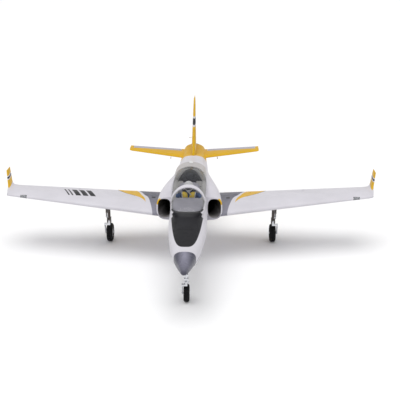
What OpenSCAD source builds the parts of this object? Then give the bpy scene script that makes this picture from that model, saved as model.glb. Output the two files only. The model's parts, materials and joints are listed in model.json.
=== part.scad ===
// Radio-controlled ducted-fan jet with a low swept wing, side intakes and retracting
// wheels. Millimetres, nose towards -Y, left wing towards +X, wheels resting on z = 0.
// Lengthwise places are stations: distances aft of the nose tip.

/* [Airframe] */
// Length from the nose tip to the top of the rudder
body_len = 1425; // [1420:1:1430]
// Height of the duct's centre line above the ground
duct_z = 212; // [211:0.5:213]
// Wall of the moulded foam shells
foam_wall = 6; // [5:0.5:7]

/* [Wing] */
// Half span to the front corner of the tip
half_span = 700; // [695:1:705]
// Station of the leading edge where the wing meets the fuselage
wing_root_le = 606; // [603:1:608]
// Station of the trailing edge where the wing meets the fuselage
wing_root_te = 905; // [902:1:908]
// Station of the leading edge at the tip
wing_tip_le = 712; // [708:1:716]
// Station of the trailing edge at the tip
wing_tip_te = 862; // [859:1:865]
// Angle at which each wing rises towards its tip
dihedral = 3.75; // [3.5:0.05:4]
// Thickness of the wing section as a share of its chord
wing_thick = 0.13; // [0.125:0.001:0.135]

/* [Tail] */
// Half span of the stabiliser
stab_half_span = 288; // [285:1:291]
// Height of the fin's tip above the ground
fin_top = 472; // [470:1:476]

/* [Control travel] */
// Aileron travel each way
aileron_travel = 22; // [15:1:24]
// Flap travel, downwards only
flap_travel = 38; // [30:1:40]
// Elevator travel each way
elevator_travel = 20; // [15:1:24]
// Rudder travel each way
rudder_travel = 25; // [18:1:26]

/* [Undercarriage] */
// Distance of each main leg from the centre line
main_track = 326; // [324:1:328]
// Radius of the main tyres
main_wheel_r = 37; // [36:0.5:37]
// Width of the main tyres
main_wheel_w = 25; // [24:0.5:25]
// Radius of the nose tyre
nose_wheel_r = 31; // [30:0.5:31]
// Width of the nose tyre
nose_wheel_w = 20; // [19:0.5:20]

/* [Hidden] */
$fn = 48;

foam = [0.93, 0.92, 0.95];
yellow = [0.93, 0.7, 0.08];
slate = [0.3, 0.31, 0.36];
black = [0.06, 0.06, 0.07];
steel = [0.62, 0.63, 0.65];

// ---- Sections and lofts ---------------------------------------------------------

// Index of the table row at or before station s
function row_before(table, s, i = 0) =
    (i >= len(table) - 2 || s <= table[i + 1][0]) ? i : row_before(table, s, i + 1);

// Rate of change of a table at row i
function row_slope(table, i) =
    let (a = max(0, i - 1), b = min(len(table) - 1, i + 1))
    (table[b] - table[a]) / (table[b][0] - table[a][0]);

// Row of a table at station s, on a smooth cubic through its rows
function smooth_row(table, s) =
    let (
        i = row_before(table, s),
        h = table[i + 1][0] - table[i][0],
        t = (s - table[i][0]) / h,
        t2 = t * t,
        t3 = t2 * t
    )
    table[i] * (2 * t3 - 3 * t2 + 1) + row_slope(table, i) * h * (t3 - 2 * t2 + t)
    + table[i + 1] * (3 * t2 - 2 * t3) + row_slope(table, i + 1) * h * (t3 - t2);

// Sign-keeping power that squares up an ellipse
function squared(v, n) = sign(v) * pow(abs(v), 2 / n);

// Closed ring across the body at station s: centre x, half width, low z, wide z, top z
function oval_ring(s, x, w, low, mid, top, n, count) = [
    for (k = [0:count - 1])
        let (a = 360 * (k + 0.5) / count, rise = sin(a) > 0 ? top - mid : mid - low)
        [x + w * squared(cos(a), n), s, mid + rise * squared(sin(a), n)]
];

// Solid through a list of rings with equal numbers of points
module loft(rings) {
    n = len(rings[0]);
    last = (len(rings) - 1) * n;
    sides = [
        for (i = [0:len(rings) - 2])
            for (k = [0:n - 1])
                let (j = (k + 1) % n)
                [i * n + k, i * n + j, (i + 1) * n + j, (i + 1) * n + k]
    ];
    front = [for (k = [n - 1:-1:0]) k];
    back = [for (k = [0:n - 1]) last + k];
    polyhedron([for (r = rings) each r], concat([front], sides, [back]));
}

// Evenly spread stations from a to b
function stations(a, b, step) =
    let (count = ceil((b - a) / step))
    [for (i = [0:count]) a + (b - a) * i / count];

// Prism across the span between two outlines of [station, z] points
// given clockwise with stations to the right
module span_prism(x_a, outline_a, x_b, outline_b) {
    loft([
        [for (p = outline_a) [x_a, p[0], p[1]]],
        [for (p = outline_b) [x_b, p[0], p[1]]]
    ]);
}

// Moves the station origin from the nose tip to the middle of the length
module from_nose() {
    translate([0, -body_len / 2, 0]) children();
}

// Evaluates a faceted cut as one mesh
module as_mesh() {
    resize([0, 0, 0]) children();
}

module mirrored(flip) {
    mirror([flip ? 1 : 0, 0, 0]) children();
}

module both_sides() {
    children();
    mirror([1, 0, 0]) children();
}

// ---- Fuselage shape -------------------------------------------------------------

nose_len = 93;
split_s = 560;
tail_s = 1375;
mouth_s = 570;
hatch_front = 225;
hatch_back = 800;
sill_z = 283;

// Station, half width, low z, widest z, top z of the nose cone
nose_rows = [
    [0, 5, 195, 200, 206],
    [8, 13, 190, 201, 212],
    [30, 22, 186, 204, 221],
    [60, 30, 182, 208, 229],
    [93, 36, 178, 211, 236]
];

// The same for the main body
body_rows = [
    [93, 36, 178, 211, 236],
    [140, 45, 170, 212, 246],
    [200, 54, 162, 214, 259],
    [260, 60, 154, 216, 272],
    [320, 65, 148, 217, 287],
    [420, 67, 143, 217, 290],
    [570, 67, 140, 216, 290],
    [700, 68, 138, 214, 290],
    [850, 68, 140, 212, 286],
    [1000, 66, 147, 211, 278],
    [1150, 61, 154, 211, 269],
    [1300, 54, 160, 211, 262],
    [1375, 49, 163, 211, 259]
];

// Canopy and the spine that runs aft of it
hump_rows = [
    [306, 22, 270, 284, 288],
    [314, 46, 270, 284, 294],
    [328, 54, 270, 284, 303],
    [350, 58, 270, 284, 313],
    [400, 61, 270, 284, 331],
    [450, 63, 270, 284, 347],
    [500, 64, 270, 284, 359],
    [560, 65, 270, 284, 364],
    [630, 66, 268, 283, 357],
    [700, 66, 266, 282, 342],
    [850, 62, 262, 278, 323],
    [1000, 54, 250, 268, 298],
    [1150, 42, 240, 256, 274],
    [1230, 34, 236, 248, 262]
];

// Station, centre x, half width, low z, top z of an intake's fairing
cheek_rows = [
    [570, 75, 47.5, 176, 266],
    [650, 68, 49, 161, 283],
    [720, 60, 49, 149, 291],
    [800, 52, 49, 143, 290],
    [900, 40, 48, 145, 283],
    [1000, 26, 46, 151, 273],
    [1080, 16, 42, 158, 265]
];

module body_part(rows, a, b, inset, step = 35, n = 2.7, count = 36) {
    loft([
        for (s = stations(a, b, step))
            let (r = smooth_row(rows, s))
            oval_ring(s, 0, r[1] - inset, r[2] + inset, r[3], r[4] - inset, n, count)
    ]);
}

module cheek(inset, a, b) {
    loft([
        for (s = stations(a, b, 40))
            let (r = smooth_row(cheek_rows, s), mid = (r[3] + r[4]) / 2)
            oval_ring(s, r[1], r[2] - inset, r[3] + inset, mid, r[4] - inset, 2.8, 32)
    ]);
}

// Whole outer form aft of the nose cone, drawn in by inset
module body_form(inset) {
    body_part(body_rows, nose_len - (inset < 0 ? 1 : 0), tail_s, inset);
    body_part(hump_rows, 306 + max(0, inset), 1230, inset, 30, 2.1, 32);
    both_sides() cheek(inset, mouth_s, 1080);
}

// Long box along x given by its side outline
module side_cut(outline, half_width = 200) {
    translate([half_width, 0, 0])
        rotate([90, 0, -90])
            linear_extrude(2 * half_width)
                polygon([for (p = outline) [-p[0], p[1]]]);
}

module slab(s_a, s_b, z_a = 0, z_b = 600) {
    translate([-250, s_a, z_a]) cube([500, s_b - s_a, z_b - z_a]);
}

// Side outline of everything that lifts off with the hatch
function hatch_outline(gap) = [
    [hatch_front + gap, 500],
    [hatch_front + gap, 255 + gap],
    [313, sill_z + gap],
    [hatch_back - gap, sill_z + gap],
    [hatch_back - gap, 500]
];

// Hole in the belly for the nose leg and its wheel
module nose_bay() {
    translate([-28, 192, 120]) cube([56, 216, 60]);
}

// Moulded floor that the battery and the speed controller stand on
shelf_front = 396;
shelf_top = 203.6;

module battery_shelf() {
    intersection() {
        translate([-70, shelf_front, shelf_top - 4]) cube([140, split_s - shelf_front - 2, 4]);
        body_part(body_rows, nose_len, tail_s, foam_wall / 2);
    }
}

// Raised pad in front of the speed controller, for a receiver or a gyroscope
pad_rise = 2;

module receiver_pad() {
    translate([6, shelf_front + 3, shelf_top - 1]) cube([36, 26, pad_rise + 1]);
}

// Frame across the inside of the rear shell, before it is bored for the fan and its tube
module former(s) {
    intersection() {
        body_part(body_rows, nose_len, tail_s, foam_wall / 2);
        slab(s, s + 6);
    }
}

// Room for the cockpit tray to hang through the top of the shell
module cockpit_opening() {
    translate([-tub_half - 4, tub_front + 2, tub_rim - 24]) cube([2 * tub_half + 8, well_len + 8, 30]);
}

// Slot along the spine that the hatch's catch slides in
latch_travel = 10;
latch_s = hatch_back + 9;

module latch_slot() {
    translate([-4.5, latch_s - 0.5, 310]) cube([9, latch_travel + 9, 30]);
}

module nose_cone() {
    color(slate)
        from_nose()
            as_mesh()
                difference() {
                    body_part(nose_rows, 0, nose_len, 0, 10);
                    body_part(nose_rows, 22, nose_len + 1, 3, 20);
                }
}

module fuselage_front() {
    color(foam)
        from_nose()
            as_mesh()
                difference() {
                    union() {
                        difference() {
                            intersection() {
                                body_form(0);
                                slab(nose_len, split_s);
                            }
                            intersection() {
                                body_form(foam_wall);
                                slab(nose_len + 8, split_s + 1);
                            }
                        }
                        battery_shelf();
                        receiver_pad();
                    }
                    side_cut(hatch_outline(0));
                    cockpit_opening();
                    nose_bay();
                    nose_retract_seat();
                }
}

module fuselage_rear() {
    color(foam)
        from_nose()
            as_mesh()
                difference() {
                    union() {
                        difference() {
                            intersection() {
                                body_form(0);
                                slab(split_s, tail_s);
                            }
                            intersection() {
                                body_form(foam_wall);
                                slab(split_s - 1, tail_s + 1);
                            }
                        }
                        for (s = [fan_s + 8, fan_s + 56, 1120]) former(s);
                    }
                    side_cut(hatch_outline(0));
                    cockpit_opening();
                    latch_slot();
                    duct_turn([
                        [0, fan_s - 3], [49.1, fan_s - 3], [49.1, fan_s + 66], [42.6, tail_s + 1],
                        [0, tail_s + 1]
                    ]);
                    both_sides() {
                        spar(5.3);
                        translate([0, -0.6, 0]) duct_form(1.7);
                    }
                }
}

// ---- Hatch and cockpit ----------------------------------------------------------

bow_lean = 44;
glass_base = 293;
windshield_outline = [
    [290, glass_base], [441, glass_base], [441 + bow_lean, 375], [290, 375]
];
rear_glass_outline = [
    [457, glass_base], [640, glass_base + 2], [672, 302], [690, 316], [700, 334], [704, 375],
    [457 + bow_lean, 375]
];

// Outer skin of the hatch with a given wall
module hatch_skin(wall) {
    intersection() {
        difference() {
            body_form(0);
            body_form(wall);
        }
        side_cut(hatch_outline(0.5));
    }
}

// Area of the anti-glare panel seen from above
module deck_area() {
    translate([0, 0, 240])
        linear_extrude(60)
            polygon([[-46, 220], [46, 220], [51, 270], [54, 317], [-54, 317], [-51, 270]]);
}

module hatch_frame() {
    color(foam)
        from_nose()
            as_mesh()
                difference() {
                    hatch_skin(4);
                    side_cut(windshield_outline);
                    side_cut(rear_glass_outline);
                    deck_area();
                }
}

module glare_deck() {
    color(black)
        from_nose()
            as_mesh()
                difference() {
                    intersection() {
                        hatch_skin(4);
                        deck_area();
                    }
                    side_cut(windshield_outline);
                }
}

module glass_panel(outline) {
    intersection() {
        difference() {
            body_part(hump_rows, 306, 720, 0, 30, 2.1, 32);
            body_part(hump_rows, 308, 721, 1.5, 30, 2.1, 32);
        }
        side_cut(outline);
    }
}

module windshield() {
    color([0.8, 0.85, 0.9, 0.4]) from_nose() as_mesh() glass_panel(windshield_outline);
}

module rear_canopy() {
    color([0.8, 0.85, 0.9, 0.4]) from_nose() as_mesh() glass_panel(rear_glass_outline);
}

tub_front = 334;
tub_back = 670;
tub_rim = 284.5;
tub_half = 42;
well_len = 254;

// Tray that carries the crew, hung from the hatch's rim, with its coaming and seats
module cockpit_tub() {
    color(slate)
        from_nose() {
            as_mesh()
                difference() {
                    intersection() {
                        body_form(4);
                        slab(tub_front, tub_back, tub_rim, tub_rim + 3);
                    }
                    translate([-tub_half, tub_front + 6, 200]) cube([2 * tub_half, well_len, 200]);
                }
            difference() {
                translate([-tub_half - 3, tub_front + 3, tub_rim - 22])
                    cube([2 * tub_half + 6, well_len + 6, 22]);
                translate([-tub_half, tub_front + 6, tub_rim - 19]) cube([2 * tub_half, well_len, 24]);
            }
            translate([-38, tub_front + 12, tub_rim - 2]) cube([76, 50, 16]);
            for (s = [478, 566])
                translate([-22, s, tub_rim - 19.5]) cube([44, 8, s < 500 ? 44 : 58]);
            translate([-40, 600, tub_rim + 2.5]) cube([80, 60, 13]);
        }
}

// Seated figure: torso, shoulders, neck and a visored helmet
module pilot() {
    color([0.12, 0.2, 0.42])
        from_nose() {
            translate([0, 455, 265.7]) cylinder(h = 40, r1 = 20, r2 = 17);
            both_sides() translate([22, 452, 302]) sphere(r = 11);
            translate([0, 455, 300]) rotate([0, 90, 0]) cylinder(h = 46, r = 11, center = true);
            both_sides() translate([27, 430, 288]) rotate([-60, 0, 0]) cylinder(h = 26, r = 7);
            translate([0, 457, 306]) cylinder(h = 12, r = 7);
            translate([0, 454, 327.5]) sphere(r = 14.8);
        }
}

// Sliding catch on the spine that holds the hatch's tail end
module hatch_latch() {
    color(black)
        from_nose() {
            translate([-7, hatch_back - 5, 330.7]) cube([14, 26, 2.4]);
            translate([-4, latch_s, 316]) cube([8, 8, 16]);
            translate([-7, latch_s, 316]) cube([14, 8, 3.6]);
        }
}

// ---- Power ----------------------------------------------------------------------

fan_s = 800;

// Ring or tube of revolution about the duct's centre line, from [radius, station] points
module duct_turn(profile) {
    translate([0, 0, duct_z])
        rotate([-90, 0, 0])
            rotate_extrude($fn = 64)
                polygon(profile);
}

module fan_housing() {
    color(black)
        from_nose() {
            duct_turn([[46, fan_s], [49, fan_s], [49, fan_s + 66], [46, fan_s + 66]]);
            for (a = [0:72:359])
                translate([0, fan_s + 36, duct_z])
                    rotate([0, a, 0])
                        translate([21, 0, -0.9]) cube([25.6, 24, 1.8]);
            duct_turn([[19.5, fan_s + 34], [21.5, fan_s + 34], [21.5, fan_s + 64], [19.5, fan_s + 64]]);
        }
}

fan_shaft_r = 2.5;
shaft_bore = fan_shaft_r + 0.05;

module fan_motor() {
    color(steel)
        from_nose()
            duct_turn([
                [shaft_bore, fan_s + 28], [19.2, fan_s + 28], [19.2, fan_s + 84], [8, fan_s + 96],
                [0, fan_s + 98], [0, fan_s + 64], [shaft_bore, fan_s + 64]
            ]);
}

module fan_rotor() {
    color(slate)
        from_nose() {
            duct_turn([
                [0, fan_s - 20], [8, fan_s - 17], [15, fan_s - 9], [20, fan_s + 3],
                [20, fan_s + 26], [fan_shaft_r, fan_s + 26], [fan_shaft_r, fan_s + 62], [0, fan_s + 62]
            ]);
            intersection() {
                for (a = [0:30:359])
                    translate([0, fan_s + 14, duct_z])
                        rotate([0, a, 0])
                            rotate([38, 0, 0])
                                translate([18, -12, -0.9]) cube([32, 24, 1.8]);
                duct_turn([[0, fan_s + 3], [45.2, fan_s + 3], [45.2, fan_s + 25], [0, fan_s + 25]]);
            }
        }
}

module thrust_tube() {
    color([0.2, 0.2, 0.22])
        from_nose()
            duct_turn([[48, fan_s + 66], [49, fan_s + 66], [42.5, tail_s], [41.5, tail_s]]);
}

module exhaust_nozzle() {
    color(slate)
        from_nose()
            duct_turn([
                [41.5, tail_s + 0.2], [47, tail_s + 0.2], [45, tail_s + 20], [43.5, tail_s + 22],
                [41, tail_s + 18]
            ]);
}

// One side of the inlet passage, from the mouth to the fan's face
module duct_form(outset) {
    loft([
        for (i = [0:8])
            let (
                t = i / 8,
                e = t * t * (3 - 2 * t),
                s = mouth_s + 0.3 + (fan_s - mouth_s - 8) * t,
                w = 21 + (45 - 21) * e,
                h = 37 + (45 - 37) * e,
                z = 221 + (duct_z - 221) * e
            )
            oval_ring(s, 93 * (1 - e), w + outset, z - h - outset, z, z + h + outset,
                2.9 - 0.9 * e, 28)
    ]);
}

module intake_ducts() {
    color([0.35, 0.35, 0.37])
        from_nose()
            as_mesh()
                difference() {
                    both_sides() duct_form(1.4);
                    both_sides() duct_form(0);
                    slab(mouth_s - 5, mouth_s + 0.35);
                    slab(fan_s - 8, fan_s + 5);
                }
}

module battery_pack() {
    color([0.1, 0.22, 0.5])
        from_nose() translate([-44, shelf_front + 6, shelf_top]) cube([46, 146, 44]);
}

// Finned controller beside the battery
module speed_controller() {
    color(black)
        from_nose()
            difference() {
                translate([10, shelf_front + 34, shelf_top]) cube([34, 84, 19]);
                for (i = [0:4])
                    translate([13 + 6 * i, shelf_front + 33, shelf_top + 11]) cube([3, 86, 12]);
            }
}

// ---- Wing and tail panels -------------------------------------------------------

// Half thickness of a symmetric section at fraction c of the chord
function foil_half(c) =
    5 * (0.2969 * sqrt(c) - 0.126 * c - 0.3516 * c * c + 0.2843 * c * c * c
    - 0.1036 * c * c * c * c);

// Panel: [root x, root le, root te, root z, tip x, tip le, tip te, tip z,
//         thickness share, camber share, incidence]
wing = [
    118, wing_root_le, wing_root_te, 184,
    half_span, wing_tip_le, wing_tip_te, 184 + (half_span - 118) * tan(dihedral),
    wing_thick, 0.018, 1.5
];
stab = [
    40, 1202, 1345, 241, stab_half_span, 1288, 1369, 251, 0.1, 0, 0
];
// The fin lies flat here: its x is height
fin_panel = [
    250, 1128, 1384, 0, fin_top, 1334, body_len, 0, 0.085, 0, 0
];

function along(p, x, i) = p[i] + (p[i + 4] - p[i]) * (x - p[0]) / (p[4] - p[0]);
function le_at(p, x) = along(p, x, 1);
function te_at(p, x) = along(p, x, 2);

// Point on a panel's skin: side is 1 on top, -1 underneath and 0 on the middle surface
function skin(p, x, c, side) =
    let (chord = te_at(p, x) - le_at(p, x))
    [
        x,
        le_at(p, x) + c * chord,
        along(p, x, 3) - c * chord * tan(p[10])
            + chord * (4 * p[9] * c * (1 - c)) + side * max(p[8] * chord * foil_half(c), 0.9)
    ];

half_points = 12;
// Chord fraction of point k, bunched towards the leading edge
function chord_share(k) = pow(k / half_points, 1.6);

function foil_ring(p, x) = concat(
    [for (k = [half_points:-1:1]) skin(p, x, chord_share(k), -1)],
    [[x, le_at(p, x), along(p, x, 3)]],
    [for (k = [1:half_points]) skin(p, x, chord_share(k), 1)]
);

// Ring on the winglet: [x, le, te, z, cant, thickness share]
function canted_ring(w) =
    let (chord = w[2] - w[1], n = [-sin(w[4]), 0, cos(w[4])])
    concat(
        [
            for (k = [half_points:-1:1])
                let (c = chord_share(k))
                [w[0], w[1] + c * chord, w[3]] - n * max(chord * w[5] * foil_half(c), 0.9)
        ],
        [[w[0], w[1], w[3]]],
        [
            for (k = [1:half_points])
                let (c = chord_share(k))
                [w[0], w[1] + c * chord, w[3]] + n * max(chord * w[5] * foil_half(c), 0.9)
        ]
    );

tip_z = wing[7];
winglet_rows = [
    [708, 722, 865, tip_z - 1, 8, 0.11],
    [715, 762, 869, tip_z + 2, 30, 0.12],
    [720, 802, 876, tip_z + 9, 52, 0.12],
    [726, 826, 893, tip_z + 22, 62, 0.11],
    [735, 858, 917, tip_z + 42, 64, 0.1],
    [739, 871, 928, tip_z + 51, 64, 0.08]
];

module wing_form() {
    loft(concat(
        [for (x = [40, 118, 220, 440, 620, half_span - 2]) foil_ring(wing, x)],
        [for (w = winglet_rows) canted_ring(w)]
    ));
}

hinge_gap = 0.7;
end_gap = 0.8;
cut_depth = 60;
cut_reach = 220;

// Outline of everything aft of a hinge point
function aft_of(h) = [
    [h[1] - hinge_gap, h[2] - cut_depth], [h[1] - hinge_gap, h[2] + cut_depth],
    [h[1] + cut_reach, h[2] + cut_depth], [h[1] + cut_reach, h[2] - cut_depth]
];

// Outline of a surface, whose front face leans back under its hinge by bevel
function beveled(h, bevel) = [
    [h[1] + cut_depth * tan(bevel), h[2] - cut_depth], [h[1], h[2] - 0.8],
    [h[1], h[2] + cut_depth], [h[1] + cut_reach, h[2] + cut_depth],
    [h[1] + cut_reach, h[2] - cut_depth]
];

// Space that a surface leaves in its panel, between two span places
module surface_slot(p, span, shares) {
    span_prism(
        span[0], aft_of(skin(p, span[0], shares[0], 1)),
        span[1], aft_of(skin(p, span[1], shares[1], 1))
    );
}

module surface_block(p, span, shares, bevel) {
    span_prism(
        span[0] + end_gap, beveled(skin(p, span[0], shares[0], 1), bevel),
        span[1] - end_gap, beveled(skin(p, span[1], shares[1], 1), bevel)
    );
}

flap_span = [236, 446];
aileron_span = [450, 664];
wing_hinge = [0.755, 0.755];
elevator_span = [58, stab_half_span - 14];
elevator_hinge = [0.71, 0.47];
rudder_span = [276, fin_top - 12];
rudder_hinge = [0.76, 0.56];

// ---- Control linkages -----------------------------------------------------------

// Linkage: [hinge point, hinge axis, direction from the hinge to the horn's hole,
//           arm length, servo place ahead of and above the hinge, servo thickness]
function unit(v) = v / norm(v);
function axis_of(p, span, shares) =
    unit(skin(p, span[1], shares[1], 1) - skin(p, span[0], shares[0], 1));
// Point of the straight hinge line at span place x
function hinge_of(p, x, span, shares) =
    let (a = skin(p, span[0], shares[0], 1), b = skin(p, span[1], shares[1], 1))
    a + (b - a) * (x - span[0]) / (span[1] - span[0]);
// The fin's hinge lies on its middle surface: x is height, so swap it back
function rudder_point(x) =
    let (t = (x - rudder_span[0]) / (rudder_span[1] - rudder_span[0]))
    let (c = rudder_hinge[0] + (rudder_hinge[1] - rudder_hinge[0]) * t)
    [0, skin(fin_panel, x, c, 0)[1], x];

flap_link = [
    hinge_of(wing, 396, flap_span, wing_hinge), axis_of(wing, flap_span, wing_hinge),
    [0, 0, -1], 26, [-60, -2], 12
];
aileron_link = [
    hinge_of(wing, 545, aileron_span, wing_hinge), axis_of(wing, aileron_span, wing_hinge),
    [0, 0, -1], 24, [-56, -2], 12
];
elevator_link = [
    hinge_of(stab, 96, elevator_span, elevator_hinge),
    axis_of(stab, elevator_span, elevator_hinge), [0, 0, -1], 19, [-58, -3.2], 9
];
rudder_link = [
    rudder_point(300), unit(rudder_point(rudder_span[0]) - rudder_point(rudder_span[1])),
    [-1, 0, 0], 20, [-62, 0], 11
];

// Puts children in a linkage's frame: x along the hinge, y aft, z away from the horn
module link_frame(k) {
    ex = k[1];
    up = -k[2];
    ez = unit(up - (up * ex) * ex);
    ey = cross(ez, ex);
    h = k[0];
    multmatrix([
        [ex[0], ey[0], ez[0], h[0]],
        [ex[1], ey[1], ez[1], h[1]],
        [ex[2], ey[2], ez[2], h[2]],
        [0, 0, 0, 1]
    ]) children();
}

servo_len = 23;
servo_wide = 24;
shaft_r = 2;
pin_r = 0.8;
arm_plate = 1.6;

// Horn on the surface: a plate whose hole lies straight below the hinge line
module horn(k, foot_near, foot_far, foot_depth) {
    link_frame(k)
        rotate([90, 0, 90])
            linear_extrude(arm_plate)
                difference() {
                    polygon([
                        [foot_near, -foot_depth], [foot_far, -foot_depth],
                        [3.2, -k[3] - 3], [-2.6, -k[3] - 3], [-3, -k[3] + 1.8]
                    ]);
                    translate([0, -k[3]]) circle(r = 1.15);
                }
}

module servo_body(k) {
    link_frame(k)
        translate([0, k[4][0], k[4][1]]) {
            translate([-servo_wide - 1.6, -servo_len + 6, -k[5] / 2]) cube([servo_wide, servo_len, k[5]]);
            rotate([0, 90, 0]) translate([0, 0, -1.7]) cylinder(h = 4.3, r = shaft_r);
        }
}

module servo_pocket(k) {
    link_frame(k)
        translate([0, k[4][0], k[4][1]]) {
            translate([-servo_wide - 2.2, -servo_len + 5.4, -k[5] / 2 - 0.6])
                cube([servo_wide + 1.6, servo_len + 1.2, k[5] + 1.2]);
            translate([-1, -k[3] * 0.5 - 5, -k[3] - 8]) cube([6.5, k[3] + 10, k[3] + 13]);
        }
}

// Slot in the lower skin that the flap's horn swings forward into
module horn_slot(k) {
    link_frame(k) translate([-0.6, -24, -k[3] + 2]) cube([arm_plate + 1.2, 30, 9]);
}

module servo_arm(k) {
    color("white")
        from_nose()
            link_frame(k)
                translate([0.2, k[4][0], k[4][1]])
                    rotate([90, 0, 90])
                        difference() {
                            union() {
                                cylinder(h = arm_plate, r = 4);
                                linear_extrude(arm_plate)
                                    polygon([[-3, 0], [3, 0], [2.4, -k[3] - 2.4], [-2.4, -k[3] - 2.4]]);
                            }
                            translate([0, 0, -1]) cylinder(h = 4, r = shaft_r + 0.06);
                            translate([0, -k[3], -1]) cylinder(h = 4, r = pin_r + 0.06);
                        }
}

// Wire from the arm's hole to the horn's hole, with a cranked pin at each end
module push_rod(k) {
    reach = norm(k[4]);
    tilt = atan2(-k[4][1], -k[4][0]);
    color(steel)
        from_nose()
            link_frame(k)
                translate([0, 0, -k[3]])
                    rotate([tilt, 0, 0]) {
                        translate([3.2, 1.2, 0]) rotate([90, 0, 0]) cylinder(h = reach + 2.4, r = 1.2);
                        for (y = [0, -reach])
                            translate([-1, y, 0]) rotate([0, 90, 0]) cylinder(h = 4.4, r = pin_r);
                    }
}

// ---- Wing -----------------------------------------------------------------------

gear_pivot = [main_track, 790, 190];
main_trail = 25;
retract_angle = 83.5;
nose_pivot = [0, 212, 174];
nose_trail = 20;
nose_retract = 88;
main_axle = [main_track, gear_pivot[1] + main_trail, main_wheel_r];
nose_axle = [0, nose_pivot[1] + nose_trail, nose_wheel_r];
// Height of each trailing arm's pivot, just above its wheel
main_knuckle = [main_track, gear_pivot[1], 92];
nose_knuckle = [0, nose_pivot[1], 80];
// How far each main wheel moves aft and up as its arm gives
main_swing = [7.5, 4.5];
// Room round the folded main wheel, and above it
well_gap = 4;
well_headroom = 2.5;

// Recess for the folded leg and wheel in the underside of the left wing
module main_wheel_well() {
    reach = gear_pivot[2] - main_wheel_r;
    translate(gear_pivot)
        rotate([0, retract_angle, 0])
            translate([-main_wheel_w / 2 - well_headroom, 0, -reach]) {
                for (swing = [[0, 0], main_swing])
                    translate([0, main_trail + swing[0], swing[1]])
                        rotate([0, 90, 0]) cylinder(h = 90, r = main_wheel_r + well_gap);
                translate([2, -16, 0]) cube([90, 44, reach + 2]);
            }
    translate([main_track - 24, gear_pivot[1] - 16, 120]) cube([46, 32, 80]);
}

module retract_pocket() {
    translate(gear_pivot + [-11.5, -24.5, -40]) cube([23, 49, 49.5]);
}

module wing_panel(flip) {
    color(foam)
        from_nose()
            mirrored(flip)
                as_mesh()
                    difference() {
                        wing_form();
                        body_form(-0.3);
                        surface_slot(wing, flap_span, wing_hinge);
                        surface_slot(wing, aileron_span, wing_hinge);
                        main_wheel_well();
                        retract_pocket();
                        servo_pocket(flap_link);
                        horn_slot(flap_link);
                        servo_pocket(aileron_link);
                        spar(5.3);
                        lamp_space();
                    }
}

// Where the lamps' lenses sit in the leading edge and the tip
module lamp_space() {
    for (x = [628, 706])
        translate([x, 690, 150]) cube([26, le_at(wing, x) + 11 - 690, 120]);
}

module wing_lights() {
    color([0.25, 0.26, 0.28])
        from_nose()
            both_sides()
                as_mesh()
                    intersection() {
                        wing_form();
                        lamp_space();
                    }
}

module spar(r) {
    a = skin(wing, 84, 0.36, 0);
    b = skin(wing, 470, 0.36, 0);
    d = b - a;
    translate(a)
        rotate([0, 0, atan2(d[1], d[0])])
            rotate([0, 90 - asin(d[2] / norm(d)), 0])
                cylinder(h = norm(d), r = r);
}

module wing_spars() {
    color([0.1, 0.1, 0.11])
        from_nose()
            both_sides()
                difference() {
                    spar(5);
                    spar(3.8);
                }
}

module wing_surface(span, bevel) {
    as_mesh()
        intersection() {
            wing_form();
            surface_block(wing, span, wing_hinge, bevel);
        }
}

module aileron(flip) {
    color(foam)
        from_nose()
            mirrored(flip) {
                wing_surface(aileron_span, aileron_travel + 6);
                horn(aileron_link, 9, 22, 10.5);
            }
}

module flap(flip) {
    color(foam)
        from_nose()
            mirrored(flip) {
                wing_surface(flap_span, flap_travel + 6);
                horn(flap_link, 15, 30, 13);
            }
}

// ---- Tail -----------------------------------------------------------------------

module panel_form(p, list) {
    loft([for (x = list) foil_ring(p, x)]);
}

module stab_form() {
    loft(concat(
        [for (x = [20, 100, stab_half_span - 12]) foil_ring(stab, x)],
        [
            for (w = [[stab_half_span - 4, 0.03, 0.09], [stab_half_span, 0.14, 0.06]])
                let (
                    le = le_at(stab, w[0]), te = te_at(stab, w[0]),
                    z = along(stab, w[0], 3)
                )
                canted_ring([w[0], le + (te - le) * w[1], te, z, 0, w[2]])
        ]
    ));
}

module stabilisers() {
    color(yellow)
        from_nose()
            both_sides()
                as_mesh()
                    difference() {
                        stab_form();
                        body_form(-0.3);
                        surface_slot(stab, elevator_span, elevator_hinge);
                        servo_pocket(elevator_link);
                    }
}

module elevator(flip) {
    color(foam)
        from_nose()
            mirrored(flip) {
                as_mesh()
                    intersection() {
                        stab_form();
                        surface_block(stab, elevator_span, elevator_hinge, elevator_travel + 8);
                    }
                horn(elevator_link, 6, 16, 5.5);
            }
}

// The fin lies along x while it is built, then stands up
module upright() {
    rotate([0, -90, 0]) children();
}

module fin_form() {
    loft(concat(
        [for (x = [245, 330, fin_top - 10]) foil_ring(fin_panel, x)],
        [
            for (w = [[fin_top - 3, 0.04, 0.08], [fin_top, 0.12, 0.05]])
                let (le = le_at(fin_panel, w[0]), te = te_at(fin_panel, w[0]))
                canted_ring([w[0], le + (te - le) * w[1], te, 0, 0, w[2]])
        ]
    ));
}

// Side outline of the rudder, grown by gap; the hinge is its front edge
function rudder_front(x) = rudder_point(x)[1];

module rudder_space(gap) {
    a = rudder_span[0] - gap;
    b = rudder_span[1] + gap;
    fa = rudder_front(a) - gap;
    fb = rudder_front(b) - gap;
    span_prism(
        a, [[fa, -40], [fa, 40], [fa + 300, 40], [fa + 300, -40]],
        b, [[fb, -40], [fb, 40], [fb + 300, 40], [fb + 300, -40]]
    );
}

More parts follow.
